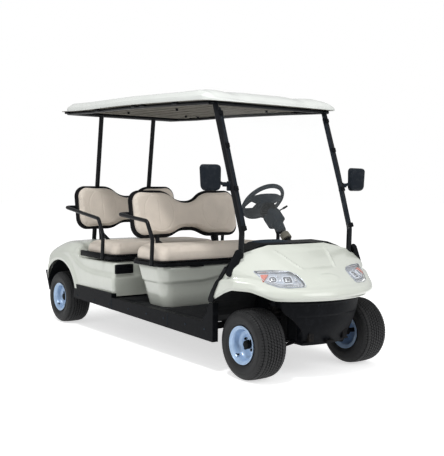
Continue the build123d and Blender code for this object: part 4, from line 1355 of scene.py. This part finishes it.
RIM_LINE = [  # a rim's section: outboard of the wheel's middle, radius
    (-0.1000, 0.1200),
    (-0.1010, 0.1235),
    (-0.0975, 0.1240),
    (-0.0950, 0.1215),
    (-0.0900, 0.1040),
    (0.0900, 0.1040),
    (0.0950, 0.1215),
    (0.0980, 0.1240),
    (0.1015, 0.1232),
    (0.1010, 0.1195),
    (0.0965, 0.1165),
    (0.0925, 0.1090),
    (0.0880, 0.1030),
    (0.0700, 0.0990),
    (0.0480, 0.0965),
    (0.0360, 0.0900),
    (0.0310, 0.0800),
    (0.0300, 0.0640),
    (0.0330, 0.0500),
    (0.0345, 0.0340),
    (0.0340, 0.0150),
    (0.0280, 0.0150),
    (0.0260, 0.0750),
    (-0.0200, 0.0980),
    (-0.0900, 0.0985),
]


def make_rims():
    """Deep dished rims with a rolled lip, turned about each wheel's own axle."""
    for place, x, y in WHEELS:
        side = math.copysign(1.0, y)
        bm = bmesh.new()
        count = len(RIM_LINE)

        def turned(across, along, x=x, y=y, side=side):
            offset, radius = RIM_LINE[round(across * count) % count]
            angle = 2 * math.pi * along
            return Vector(
                (x + radius * math.cos(angle), y + side * offset, TYRE_RADIUS + radius * math.sin(angle))
            )

        add_sheet(bm, count, 120, turned)
        weld(bm, 0.00002)
        face_out(bm)
        new_piece(
            f"rim_{place}_dish", bm, "wheel_paint", f"wheel_{place}", stands_for=[f"rim_{place}"], sharp=44
        )


def make_wheel_fittings():
    """Wheel nuts, hub cap and valve stem."""
    for place, x, y in WHEELS:
        side = math.copysign(1.0, y)
        face = y + side * 0.030
        bm = bmesh.new()
        add_rod(
            bm,
            (x, face + side * 0.007, TYRE_RADIUS),
            (x, face + side * 0.034, TYRE_RADIUS),
            0.030,
            0.026,
            36,
            0.003,
        )
        for step in range(4):
            angle = math.pi / 4 + math.pi / 2 * step
            spot = Vector((x + 0.0445 * math.cos(angle), face, TYRE_RADIUS + 0.0445 * math.sin(angle)))
            add_rod(bm, spot, spot + Vector((0, side * 0.016, 0)), 0.0095, 0.0085, 6, 0.0012)
        valve = Vector((x - 0.058, face + side * 0.040, TYRE_RADIUS - 0.072))
        add_rod(bm, valve, valve + Vector((0.007, side * 0.030, 0.009)), 0.0055, 0.004, 16, 0.001)
        new_piece(f"hub_fittings_{place}", bm, "black_plastic", f"wheel_{place}")


# ---------------------------------------------------------------- steering, screen and mirrors
WHEEL_CENTRE = Vector((0.505, 0.270, 1.117))
RAKE = math.radians(42.8)


def steering_frame():
    """Steering wheel's own axes: local X to the left, local Y up its face, local Z towards the driver."""
    out = Vector((-math.cos(RAKE), 0, math.sin(RAKE)))
    up = Vector((math.sin(RAKE), 0, math.cos(RAKE)))
    return Matrix.Translation(WHEEL_CENTRE) @ axes(Vector((0, 1, 0)), up, out)


GRIP_RADIUS = 0.171
PLATE_RADIUS = 0.166


def make_steering_wheel():
    """The steering wheel's ribbed rim, its dished plate with three openings, and its hub."""
    turn = steering_frame()
    bm = bmesh.new()

    def grip(across, along):
        angle = 2 * math.pi * along
        round_angle = 2 * math.pi * across
        thick = 0.0135 + 0.0015 * bell(0, 0.35, math.sin(angle) + 0.35) * (
            1 if abs(math.cos(angle)) > 0.8 else 0
        )
        ripple = 0.0006 * math.sin(across * 2 * math.pi * 10) * (1 if math.cos(round_angle) < 0.2 else 0)
        radius = GRIP_RADIUS + (thick + ripple) * math.cos(round_angle)
        rise = (thick + ripple) * math.sin(round_angle)
        return turn @ Vector((radius * math.cos(angle), radius * math.sin(angle), rise))

    add_sheet(bm, 28, 144, grip)
    weld(bm, 0.00002)
    face_out(bm)
    wheel = new_piece(
        "steering_wheel_grip", bm, "grip_rubber", "steering_wheel", stands_for=["steering_wheel"], sharp=40
    )
    wheel.data.shade_smooth()
    bm = bmesh.new()

    def plate(across, along):
        angle = 2 * math.pi * along
        reach = PLATE_RADIUS * min(across, 1 - across) * 2
        z = -0.034 + 0.030 * (reach / PLATE_RADIUS) ** 2 + (0.0045 if across < 0.5 else -0.0045)
        return turn @ Vector((reach * math.cos(angle), reach * math.sin(angle), z))

    add_sheet(bm, 36, 96, plate)
    weld(bm, 0.00005)
    face_out(bm)
    add_slab(
        bm,
        oblong(0.062, 0.050, 0.030),
        [(-0.040, 0.0), (-0.012, 0.002), (-0.004, 0.010), (-0.001, 0.026)],
        turn,
        [(-0.046, 0.004)],
    )
    add_rod(bm, turn @ Vector((0, 0, -0.110)), turn @ Vector((0, 0, -0.035)), 0.030, 0.040, 32, 0.004)
    spokes = new_piece("steering_wheel_plate", bm, "grip_rubber", "steering_wheel", sharp=40)
    arc = [math.radians(26 + 8 * step) for step in range(17)]
    holes = [[(0.154 * math.cos(angle), 0.154 * math.sin(angle), 0.0) for angle in arc]]
    holes[0] += [(0.112 * math.cos(angle), 0.070 + 0.034 * math.sin(angle), 0.0) for angle in reversed(arc)]
    left = [math.radians(150 + 5.5 * step) for step in range(7)]
    for sweep in (left, [math.pi - angle for angle in reversed(left)]):
        holes.append([(0.153 * math.cos(angle), 0.153 * math.sin(angle) - 0.060, 0.0) for angle in sweep])
        holes[-1] += [
            (0.088 * math.cos(angle), 0.088 * math.sin(angle) - 0.040, 0.0) for angle in reversed(sweep)
        ]
    bars = bmesh.new()
    for hole in holes:
        add_slab(bars, hole, [(-0.02, 0.0), (0.05, 0.0)], turn, [(-0.06, 0.0)])
    face_out(bars)
    cut(spokes, link_object("spoke_cutter", bars))


def make_column_cover():
    """Column shroud, the gaiter at its foot and the two levers."""
    down = Vector((math.cos(RAKE), 0, -math.sin(RAKE)))
    turn = axes(Vector((0, 1, 0)), Vector((math.sin(RAKE), 0, math.cos(RAKE))), -down)
    bm = bmesh.new()
    middle = WHEEL_CENTRE + down * 0.186
    add_box(
        bm, middle - Vector((0.052, 0.060, 0.062)), middle + Vector((0.052, 0.060, 0.062)), 0.020, 4, turn
    )
    low = WHEEL_CENTRE + down * 0.270
    add_rod(bm, low - down * 0.035, low + down * 0.050, 0.046, 0.032, 32, 0.004)
    new_piece("column_shroud", bm, "black_plastic", finish="grip_rubber", sharp=40)
    bm = bmesh.new()
    foot = WHEEL_CENTRE + down * 0.372
    add_rod(bm, foot - down * 0.028, foot + down * 0.028, 0.036, 0.038, 32, 0.006)
    new_piece("column_gaiter", bm, "black_plastic", finish="gaiter", sharp=40)
    bm = bmesh.new()
    for start, sweep, knob in (
        ((0, 0.04, 0.02), (0.01, 0.105, 0.050), 0.042),
        ((0, -0.04, 0.01), (0.01, -0.075, 0.02), 0.04),
    ):
        root = WHEEL_CENTRE + down * 0.150 + Vector(start)
        tip = root + Vector(sweep)
        add_rod(bm, root, tip, 0.006, 0.005, 16)
        add_rod(bm, tip - (tip - root).normalized() * knob, tip, 0.009, 0.0075, 20, 0.002)
    new_piece("column_levers", bm, "black_plastic", sharp=35)


def make_screen_edging():
    """Two-strip edging along each side of the screen, with its clamps."""
    bm = bmesh.new()
    foot, head = Vector((1.236, 0, 0.935)), Vector((0.945, 0, 1.760))
    along = (head - foot).normalized()
    face = Vector((along.z, 0, -along.x))
    for side in (-1, 1):
        for y, start, stop, wide in ((0.483, 0.035, 0.872, 0.013), (0.4645, 0.045, 0.85, 0.0045)):
            begin, end = foot + along * start, foot + along * stop
            turn = (end - begin).to_track_quat("Z", "X").to_matrix().to_4x4()
            middle = (begin + end) / 2 + Vector((0, side * y, 0)) + face * 0.0025
            reach = (end - begin).length / 2
            add_box(
                bm,
                middle - Vector((0.0062, wide, reach)),
                middle + Vector((0.0062, wide, reach)),
                0.002,
                2,
                turn,
            )
    new_piece("screen_edging", bm, "black_plastic", finish="screen_trim")
    bm = bmesh.new()
    for side in (-1, 1):
        for share in (0.03, 0.30, 0.60, 0.83):
            spot = foot + along * share + face * 0.004 + Vector((0, side * 0.484, 0))
            turn = along.to_track_quat("Z", "Y").to_matrix().to_4x4()
            add_box(
                bm, spot - Vector((0.016, 0.012, 0.016)), spot + Vector((0.016, 0.020, 0.016)), 0.004, 2, turn
            )
            add_rod(bm, spot, spot + face * 0.022, 0.0075, 0.006, 6, 0.001)
    new_piece("screen_clamps", bm, "black_plastic")


MIRROR_ARM = [(0.505, 1.243), (0.535, 1.243), (0.565, 1.252), (0.600, 1.262)]  # y, z


def make_mirrors():
    """Mirror housings on their arms, with their glass."""
    bm = bmesh.new()
    glass = bmesh.new()
    for side in (-1, 1):
        turn = Matrix(((0, 0, 1, 1.118), (1, 0, 0, side * 0.660), (0, 1, 0, 1.292), (0, 0, 0, 1)))
        outline = [
            (0.082, 0.082, 0.028), (-0.078, 0.084, 0.030), (-0.076, -0.086, 0.032), (0.070, -0.086, 0.036)
        ]
        outline = [(side * x, z, corner) for x, z, corner in outline]
        levels = [
            (-0.016, 0.0), (-0.004, 0.001), (0.006, 0.004), (0.013, 0.010), (0.017, 0.017), (0.019, 0.024)
        ]
        add_slab(bm, outline, levels, turn, [(-0.019, 0.004)])
        add_slab(
            glass,
            [(x * 0.92, z * 0.93, corner * 0.85) for x, z, corner in outline],
            [(-0.0194, 0.0), (-0.0182, 0.0)],
            turn,
        )
        add_run(
            bm,
            [(1.108, side * y, z) for y, z in MIRROR_ARM],
            0.011,
        )
        add_box(bm, (1.094, side * 0.508 - 0.014, 1.205), (1.124, side * 0.508 + 0.014, 1.268), 0.006, 3)
        add_rod(bm, (1.108, side * 0.545, 1.232), (1.108, side * 0.545, 1.262), 0.015, 0.014, 20, 0.003)
    new_piece("mirror_housings", bm, "black_plastic", finish="screen_trim", stands_for=["mirrors"], sharp=40)
    new_piece("mirror_plates", glass, "lamp_lens", finish="mirror_glass")


# ---------------------------------------------------------------- cabin and running gear
HOOD_RINGS = [  # instrument hood: x, half width, height of its top
    (0.985, 0.12, 0.846),
    (1.000, 0.145, 0.862),
    (1.05, 0.155, 0.872),
    (1.11, 0.155, 0.869),
    (1.15, 0.145, 0.852),
]
HOOD_MIDDLE = -0.135
HOOD_FOOT = 0.815


def make_cabin():
    """Instrument hood, dash switches, the pedals' ribbed pads and the floor's ribs."""
    bm = bmesh.new()
    rings = []
    for x, half, top in HOOD_RINGS:
        ring = []
        for step in range(21):
            angle = math.pi * step / 20
            y = HOOD_MIDDLE + half * math.copysign(abs(math.cos(angle)) ** 0.5, math.cos(angle))
            ring.append(Vector((x, y, HOOD_FOOT + (top - HOOD_FOOT) * math.sin(angle) ** 0.4)))
        rings.append(ring)
    for first, second in zip(rings, rings[1:]):
        lines = []
        for ring in (first, second):
            points = [bm.verts.new(point) for point in ring]
            lines += [bm.edges.new(pair) for pair in zip(points, points[1:])]
        bmesh.ops.bridge_loops(bm, edges=lines)
    weld(bm, 0.0001)
    face_out(bm)
    new_piece("instrument_hood", bm, "black_plastic", finish="grip_rubber", sharp=50)
    bm = bmesh.new()
    add_rod(bm, (0.952, 0.08, 0.775), (0.930, 0.08, 0.781), 0.013, 0.012, 24, 0.002)
    add_rod(bm, (0.952, 0.02, 0.775), (0.934, 0.02, 0.780), 0.010, 0.009, 24, 0.002)
    new_piece("dash_switches", bm, "black_plastic", finish="grip_rubber", sharp=30)
    bm = bmesh.new()
    for y in (0.2, 0.32):
        for place in range(6):
            z = 0.402 + 0.0152 * place
            add_box(bm, (0.8945, y - 0.031, z - 0.0035), (0.899, y + 0.031, z + 0.0035), 0.0015, 1)
    new_piece("pedal_ribs", bm, "grip_rubber")
    bm = bmesh.new()
    for low_x, high_x in ((0.36, 0.925), (-0.31, 0.0)):
        count = 26 if low_x > 0 else 14
        for place in range(count):
            x = low_x + (high_x - low_x) * (place + 0.5) / count
            add_box(bm, (x - 0.005, -0.53, 0.3295), (x + 0.005, 0.53, 0.3335), 0.0015, 1)
    new_piece("floor_ribs", bm, "floor_mat")


def make_running_gear():
    """Coil springs round the front struts, dampers behind, brake drums and the rear arches' liners."""
    bm = bmesh.new()
    for side in (-1, 1):
        low, high = Vector((FRONT_AXLE, side * 0.2855, 0.345)), Vector((FRONT_AXLE, side * 0.2692, 0.520))
        axis = (high - low).normalized()
        right = axis.cross(Vector((1, 0, 0))).normalized()
        fore = axis.cross(right)
        coil = []
        for step in range(6 * 14 + 1):
            angle = 2 * math.pi * step / 14
            spot = low.lerp(high, step / (6 * 14))
            coil.append(spot + 0.040 * (right * math.cos(angle) + fore * math.sin(angle)))
        add_run(bm, coil, 0.006, sides=2, order=3, smooth=2)
        for spot in (low, high):
            add_rod(bm, spot - axis * 0.004, spot + axis * 0.004, 0.048, 0.048, 32, 0.002)
    new_piece("front_coils", bm, "chassis_paint")
    bm = bmesh.new()
    for side in (-1, 1):
        low, high = Vector((REAR_AXLE - 0.05, side * 0.31, 0.2)), Vector(
            (REAR_AXLE - 0.09, side * 0.225, 0.345)
        )
        add_rod(bm, low, low.lerp(high, 0.55), 0.021, 0.021, 24, 0.002)
        add_rod(bm, low.lerp(high, 0.5), high, 0.008, 0.008, 16)
    new_piece("rear_dampers", bm, "chassis_paint")
    bm = bmesh.new()
    for side in (-1, 1):
        y = side * 0.489
        add_rod(
            bm,
            (REAR_AXLE, y - side * 0.115, TYRE_RADIUS),
            (REAR_AXLE, y - side * 0.062, TYRE_RADIUS),
            0.074,
            0.070,
            40,
            0.004,
        )
    new_piece("brake_drums", bm, "motor_casting")
    bm = bmesh.new()
    for side in (-1, 1):

        def liner(across, along, side=side):
            angle = math.radians(18 + 144 * round(along * 24) / 24)
            x = REAR_AXLE + 0.02 + 0.312 * math.cos(angle)
            return Vector((x, side * (0.30 + 0.27 * across), ARCH_Z + 0.312 * math.sin(angle)))

        add_sheet(bm, 4, 24, liner)
    bmesh.ops.solidify(bm, geom=bm.faces[:], thickness=0.003)
    new_piece("rear_arch_liners", bm, "black_plastic")


def make_seat_fittings():
    """Sleeves on the backrests' supports, the rear tray's raised corners and the clips below the roof."""
    bm = bmesh.new()
    for seat in SEATS.values():
        x, z = seat["back"]
        for y in (-0.290, 0.290):
            add_rod(bm, (x - 0.024, y, z - 0.150), (x - 0.056, y, z + 0.060), 0.0175, 0.0175, 24, 0.002)
    new_piece("back_supports", bm, "black_tube")
    bm = bmesh.new()
    for side in (-1, 1):
        add_box(bm, (-0.930, side * 0.560 - 0.012, 0.628), (-0.560, side * 0.560 + 0.012, 0.676), 0.006, 2)
    new_piece("rear_tray_sides", bm, "black_plastic", "rear_lid")
    bm = bmesh.new()
    for x, y in ((-0.65, -0.26), (-0.01, -0.19), (-0.57, 0.27), (-0.06, -0.49), (-0.65, 0.45), (0.5, 0.3)):
        z = blend_table(ROOF_UNDERSIDE, x)[0]
        add_box(bm, (x - 0.010, y - 0.006, z - 0.022), (x + 0.010, y + 0.006, z + 0.012), 0.002, 1)
        add_box(bm, (x - 0.016, y - 0.012, z - 0.003), (x + 0.016, y + 0.012, z + 0.012), 0.002, 1)
    new_piece("roof_clips", bm, "black_plastic")


def make_fasteners():
    """Bolt heads along the sills and the bumper, and the sills' seams."""
    bm = bmesh.new()
    for side in (-1, 1):
        for x in (-0.93, -0.62, -0.36, -0.05, 0.22, 0.46, 0.74, 0.97):
            spot = Vector((x, side * 0.6, 0.285))
            add_rod(
                bm,
                spot - Vector((0, side * 0.004, 0)),
                spot + Vector((0, side * 0.003, 0)),
                0.008,
                0.006,
                16,
                0.001,
            )
        for x in (-0.32, 0.51):
            add_box(
                bm,
                (x - 0.0022, side * 0.6005 - 0.0012, 0.245),
                (x + 0.0022, side * 0.6005 + 0.0012, 0.332),
                0.0006,
                1,
            )
    for y in (-0.25, -0.12, 0.12, 0.25):
        x = 1.573 - 0.15 * (y / 0.38) ** 2
        add_rod(bm, (x - 0.004, y, 0.478), (x + 0.003, y, 0.478), 0.008, 0.006, 16, 0.001)
    new_piece("sill_and_bumper_bolts", bm, "black_plastic", finish="grip_rubber")


# ---------------------------------------------------------------- studio
def make_stage(sizes):
    scene = bpy.context.scene
    scene.view_settings.view_transform = "Standard"
    bm = bmesh.new()
    bmesh.ops.create_grid(bm, x_segments=2, y_segments=2, size=sizes.floor_half)
    floor = link_object("studio_floor", bm)
    made = Finish("studio_floor", Roughness=0.9, Specular_IOR_Level=0.1)
    cloudy = made.ramp(made.noise(0.6, 2), 0.3, 0.7, 0.86, 0.88)
    made.feed("Base Color", cloudy)
    rays = ("Is Camera Ray", "Is Glossy Ray", "Is Transmission Ray")
    paths = [made.node("LightPath", None, None, name) for name in rays]
    seen = paths[0] + paths[1] + paths[2]  # the floor glows only for these three kinds of ray
    made.shader.inputs["Emission Strength"].default_value = 1.0
    made.feed("Emission Color", made.tint(seen, (0, 0, 0, 1), (0.62, 0.62, 0.62, 1)))
    floor.data.materials.append(made.material)

    world = bpy.data.worlds.new("studio_sky")
    scene.world = world
    world.use_nodes = True
    tree = world.node_tree
    ground = tree.nodes["Background"]
    ground.inputs["Color"].default_value = (1, 1, 1, 1)
    path = tree.nodes.new("ShaderNodeLightPath")
    seen = Value(tree, path.outputs["Is Camera Ray"]) + Value(tree, path.outputs["Is Transmission Ray"])
    seen = seen.joined("MINIMUM", seen, 1.0)
    tree.links.new((sizes.sky_light + seen * (1 - sizes.sky_light)).socket, ground.inputs["Strength"])

    for name, place, aim, size, power in (
        ("overhead_bank", (0.4, -0.6, 5.2), (0.1, 0, 0.8), 5.0, sizes.overhead_power),
        ("front_bank", (5.5, 1.5, 3.4), (0.9, 0, 0.7), 3.0, sizes.front_power),
        ("side_bank", (0.6, -6.0, 3.2), (0, 0, 0.7), 3.5, sizes.side_power),
        ("sun_lamp", (2.4, -3.1, 7.4), (0, 0, 0.7), 0.8, sizes.sun_power),
    ):
        data = bpy.data.lights.new(name, "AREA")
        data.shape = "SQUARE"
        data.size = size
        data.energy = power
        lamp = bpy.data.objects.new(name, data)
        lamp.location = place
        lamp.rotation_euler = (Vector(aim) - Vector(place)).to_track_quat("-Z", "Y").to_euler()
        scene.collection.objects.link(lamp)

    yaw, pitch, roll = (
        math.radians(angle) for angle in (sizes.camera_yaw, sizes.camera_pitch, sizes.camera_roll)
    )
    look = Vector((math.cos(yaw) * math.cos(pitch), math.sin(yaw) * math.cos(pitch), -math.sin(pitch)))
    right = look.cross(Vector((0, 0, 1))).normalized()
    up = right.cross(look)
    level = right * math.cos(roll) + up * math.sin(roll)
    upright = up * math.cos(roll) - right * math.sin(roll)
    data = bpy.data.cameras.new("studio_camera")
    data.sensor_width = 36
    data.lens = sizes.camera_lens
    data.clip_end = 100
    camera = bpy.data.objects.new("studio_camera", data)
    camera.matrix_world = Matrix.Translation(sizes.camera_place) @ axes(level, upright, -look)
    scene.collection.objects.link(camera)
    scene.camera = camera


def dress_frame():
    """Give every CAD node its finish."""
    slots = {part["node"]: part["material_slot"] for part in frame["record"]["subparts"]}
    for name, part in frame["nodes"].items():
        finish = FINISHES[slots[name]]
        part.data.materials.clear()
        part.data.materials.append(finish)


# ---------------------------------------------------------------- add-on
class CartSizes(bpy.types.PropertyGroup):
    """Sizes of the studio round the cart"""

    floor_half: bpy.props.FloatProperty(
        name="Floor Half Width", description="Half the studio floor", default=40.0, unit="LENGTH"
    )
    sky_light: bpy.props.FloatProperty(
        name="Sky Light", description="Strength of the light from all round", default=0.52
    )
    overhead_power: bpy.props.FloatProperty(
        name="Overhead Power", description="Power of the overhead bank in watts", default=55.0
    )
    front_power: bpy.props.FloatProperty(
        name="Front Power", description="Power of the front bank in watts", default=70.0
    )
    side_power: bpy.props.FloatProperty(
        name="Side Power", description="Power of the side bank in watts", default=35.0
    )
    sun_power: bpy.props.FloatProperty(
        name="Sun Power", description="Power of the sun lamp in watts", default=230.0
    )
    camera_place: bpy.props.FloatVectorProperty(
        name="Camera Place", description="Where the camera stands", default=(
            5.217, -3.587, 1.243
        ), subtype="TRANSLATION"
    )
    camera_yaw: bpy.props.FloatProperty(
        name="Camera Yaw", description="Heading of the view in degrees", default=143.65
    )
    camera_pitch: bpy.props.FloatProperty(
        name="Camera Pitch", description="Downward tilt in degrees", default=3.13
    )
    camera_roll: bpy.props.FloatProperty(
        name="Camera Roll", description="Roll of the view in degrees", default=0.49
    )
    camera_lens: bpy.props.FloatProperty(
        name="Camera Lens", description="Focal length in millimetres", default=62.17
    )


class CartColours(bpy.types.PropertyGroup):
    """Colours of the cart's main finishes"""

    body_colour: bpy.props.FloatVectorProperty(
        name="Body Colour", description="Gel-coat of the body", subtype="COLOR", size=4, default=(
            0.66, 0.69, 0.625, 1.0
        )
    )
    seat_colour: bpy.props.FloatVectorProperty(
        name="Seat Colour", description="Vinyl of the seats", subtype="COLOR", size=4, default=(
            0.82, 0.735, 0.64, 1.0
        )
    )


class CartStep:
    """Common part of the steps: runs its makers, and a failure stops the script"""

    bl_options = {"REGISTER", "UNDO"}
    makers = ()

    def execute(self, context):
        for make in self.makers:
            make()
        return {"FINISHED"}


class CART_OT_finishes(bpy.types.Operator):
    """Make the cart's finishes and put them on the frame's own parts"""

    bl_idname = "cart.finishes"
    bl_label = "Make Finishes"

    def execute(self, context):
        make_finishes(context.scene.cart_colours)
        dress_frame()
        return {"FINISHED"}


class CART_OT_roof(CartStep, bpy.types.Operator):
    """Build the roof's skin, its lining ribs and clips"""

    bl_idname = "cart.roof"
    bl_label = "Build Roof"
    makers = (make_roof, make_roof_ribs)


class CART_OT_front_cowl(CartStep, bpy.types.Operator):
    """Build the front cowl, its bands and pads, and the bumper below it"""

    bl_idname = "cart.front_cowl"
    bl_label = "Build Front Cowl"
    makers = (make_front_cowl, make_cowl_trim, make_bumper)


class CART_OT_headlights(CartStep, bpy.types.Operator):
    """Build both headlights"""

    bl_idname = "cart.headlights"
    bl_label = "Build Headlights"
    makers = (make_headlights,)


class CART_OT_rear_body(CartStep, bpy.types.Operator):
    """Build the rear body, the front seat pod and their trim"""

    bl_idname = "cart.rear_body"
    bl_label = "Build Rear Body"
    makers = (make_rear_body, make_seat_box, make_body_trim)


class CART_OT_seats(CartStep, bpy.types.Operator):
    """Build the stuffed seat and back pads with their piping"""

    bl_idname = "cart.seats"
    bl_label = "Build Seats"
    makers = (make_cushions, make_backrests)


class CART_OT_wheels(CartStep, bpy.types.Operator):
    """Build the tyres' tread and the wheels' fittings"""

    bl_idname = "cart.wheels"
    bl_label = "Build Wheels"
    makers = (make_tyres, make_rims, make_wheel_fittings)


class CART_OT_steering(CartStep, bpy.types.Operator):
    """Build the steering wheel, column shroud and levers"""

    bl_idname = "cart.steering"
    bl_label = "Build Steering"
    makers = (make_steering_wheel, make_column_cover)


class CART_OT_screen(CartStep, bpy.types.Operator):
    """Build the screen's edging and clamps, and the mirrors"""

    bl_idname = "cart.screen"
    bl_label = "Build Screen and Mirrors"
    makers = (make_screen_edging, make_mirrors)


class CART_OT_cabin(CartStep, bpy.types.Operator):
    """Build the dashboard's fittings, pedal ribs and floor ribs"""

    bl_idname = "cart.cabin"
    bl_label = "Build Cabin"
    makers = (make_cabin,)


class CART_OT_running_gear(CartStep, bpy.types.Operator):
    """Build the springs, dampers, drums, arch liners and fasteners"""

    bl_idname = "cart.running_gear"
    bl_label = "Build Running Gear"
    makers = (make_running_gear, make_seat_fittings, make_fasteners)


class CART_OT_stage(bpy.types.Operator):
    """Build the studio floor, lights and camera"""

    bl_idname = "cart.stage"
    bl_label = "Build Studio"

    def execute(self, context):
        make_stage(context.scene.cart_sizes)
        return {"FINISHED"}


STEPS = (
    CART_OT_finishes,
    CART_OT_stage,
    CART_OT_roof,
    CART_OT_front_cowl,
    CART_OT_headlights,
    CART_OT_rear_body,
    CART_OT_seats,
    CART_OT_wheels,
    CART_OT_steering,
    CART_OT_screen,
    CART_OT_cabin,
    CART_OT_running_gear,
)


class CART_PT_steps(bpy.types.Panel):
    """Lists the steps that dress the cart"""

    bl_label = "Golf Cart"
    bl_idname = "CART_PT_steps"
    bl_space_type = "VIEW_3D"
    bl_region_type = "UI"
    bl_category = "Golf Cart"

    def draw(self, context):
        for step in STEPS:
            self.layout.operator(step.bl_idname)
        for group in (context.scene.cart_sizes, context.scene.cart_colours):
            for name in group.__annotations__:
                self.layout.prop(group, name)


CLASSES = (CartSizes, CartColours, *STEPS, CART_PT_steps)


def register():
    for each in CLASSES:
        bpy.utils.register_class(each)
    bpy.types.Scene.cart_sizes = bpy.props.PointerProperty(type=CartSizes)
    bpy.types.Scene.cart_colours = bpy.props.PointerProperty(type=CartColours)


def unregister():
    del bpy.types.Scene.cart_colours
    del bpy.types.Scene.cart_sizes
    for each in reversed(CLASSES):
        bpy.utils.unregister_class(each)


def main():
    register()
    for step in STEPS:
        group, name = step.bl_idname.split(".")
        getattr(getattr(bpy.ops, group), name)()


if __name__ == "__main__":
    main()
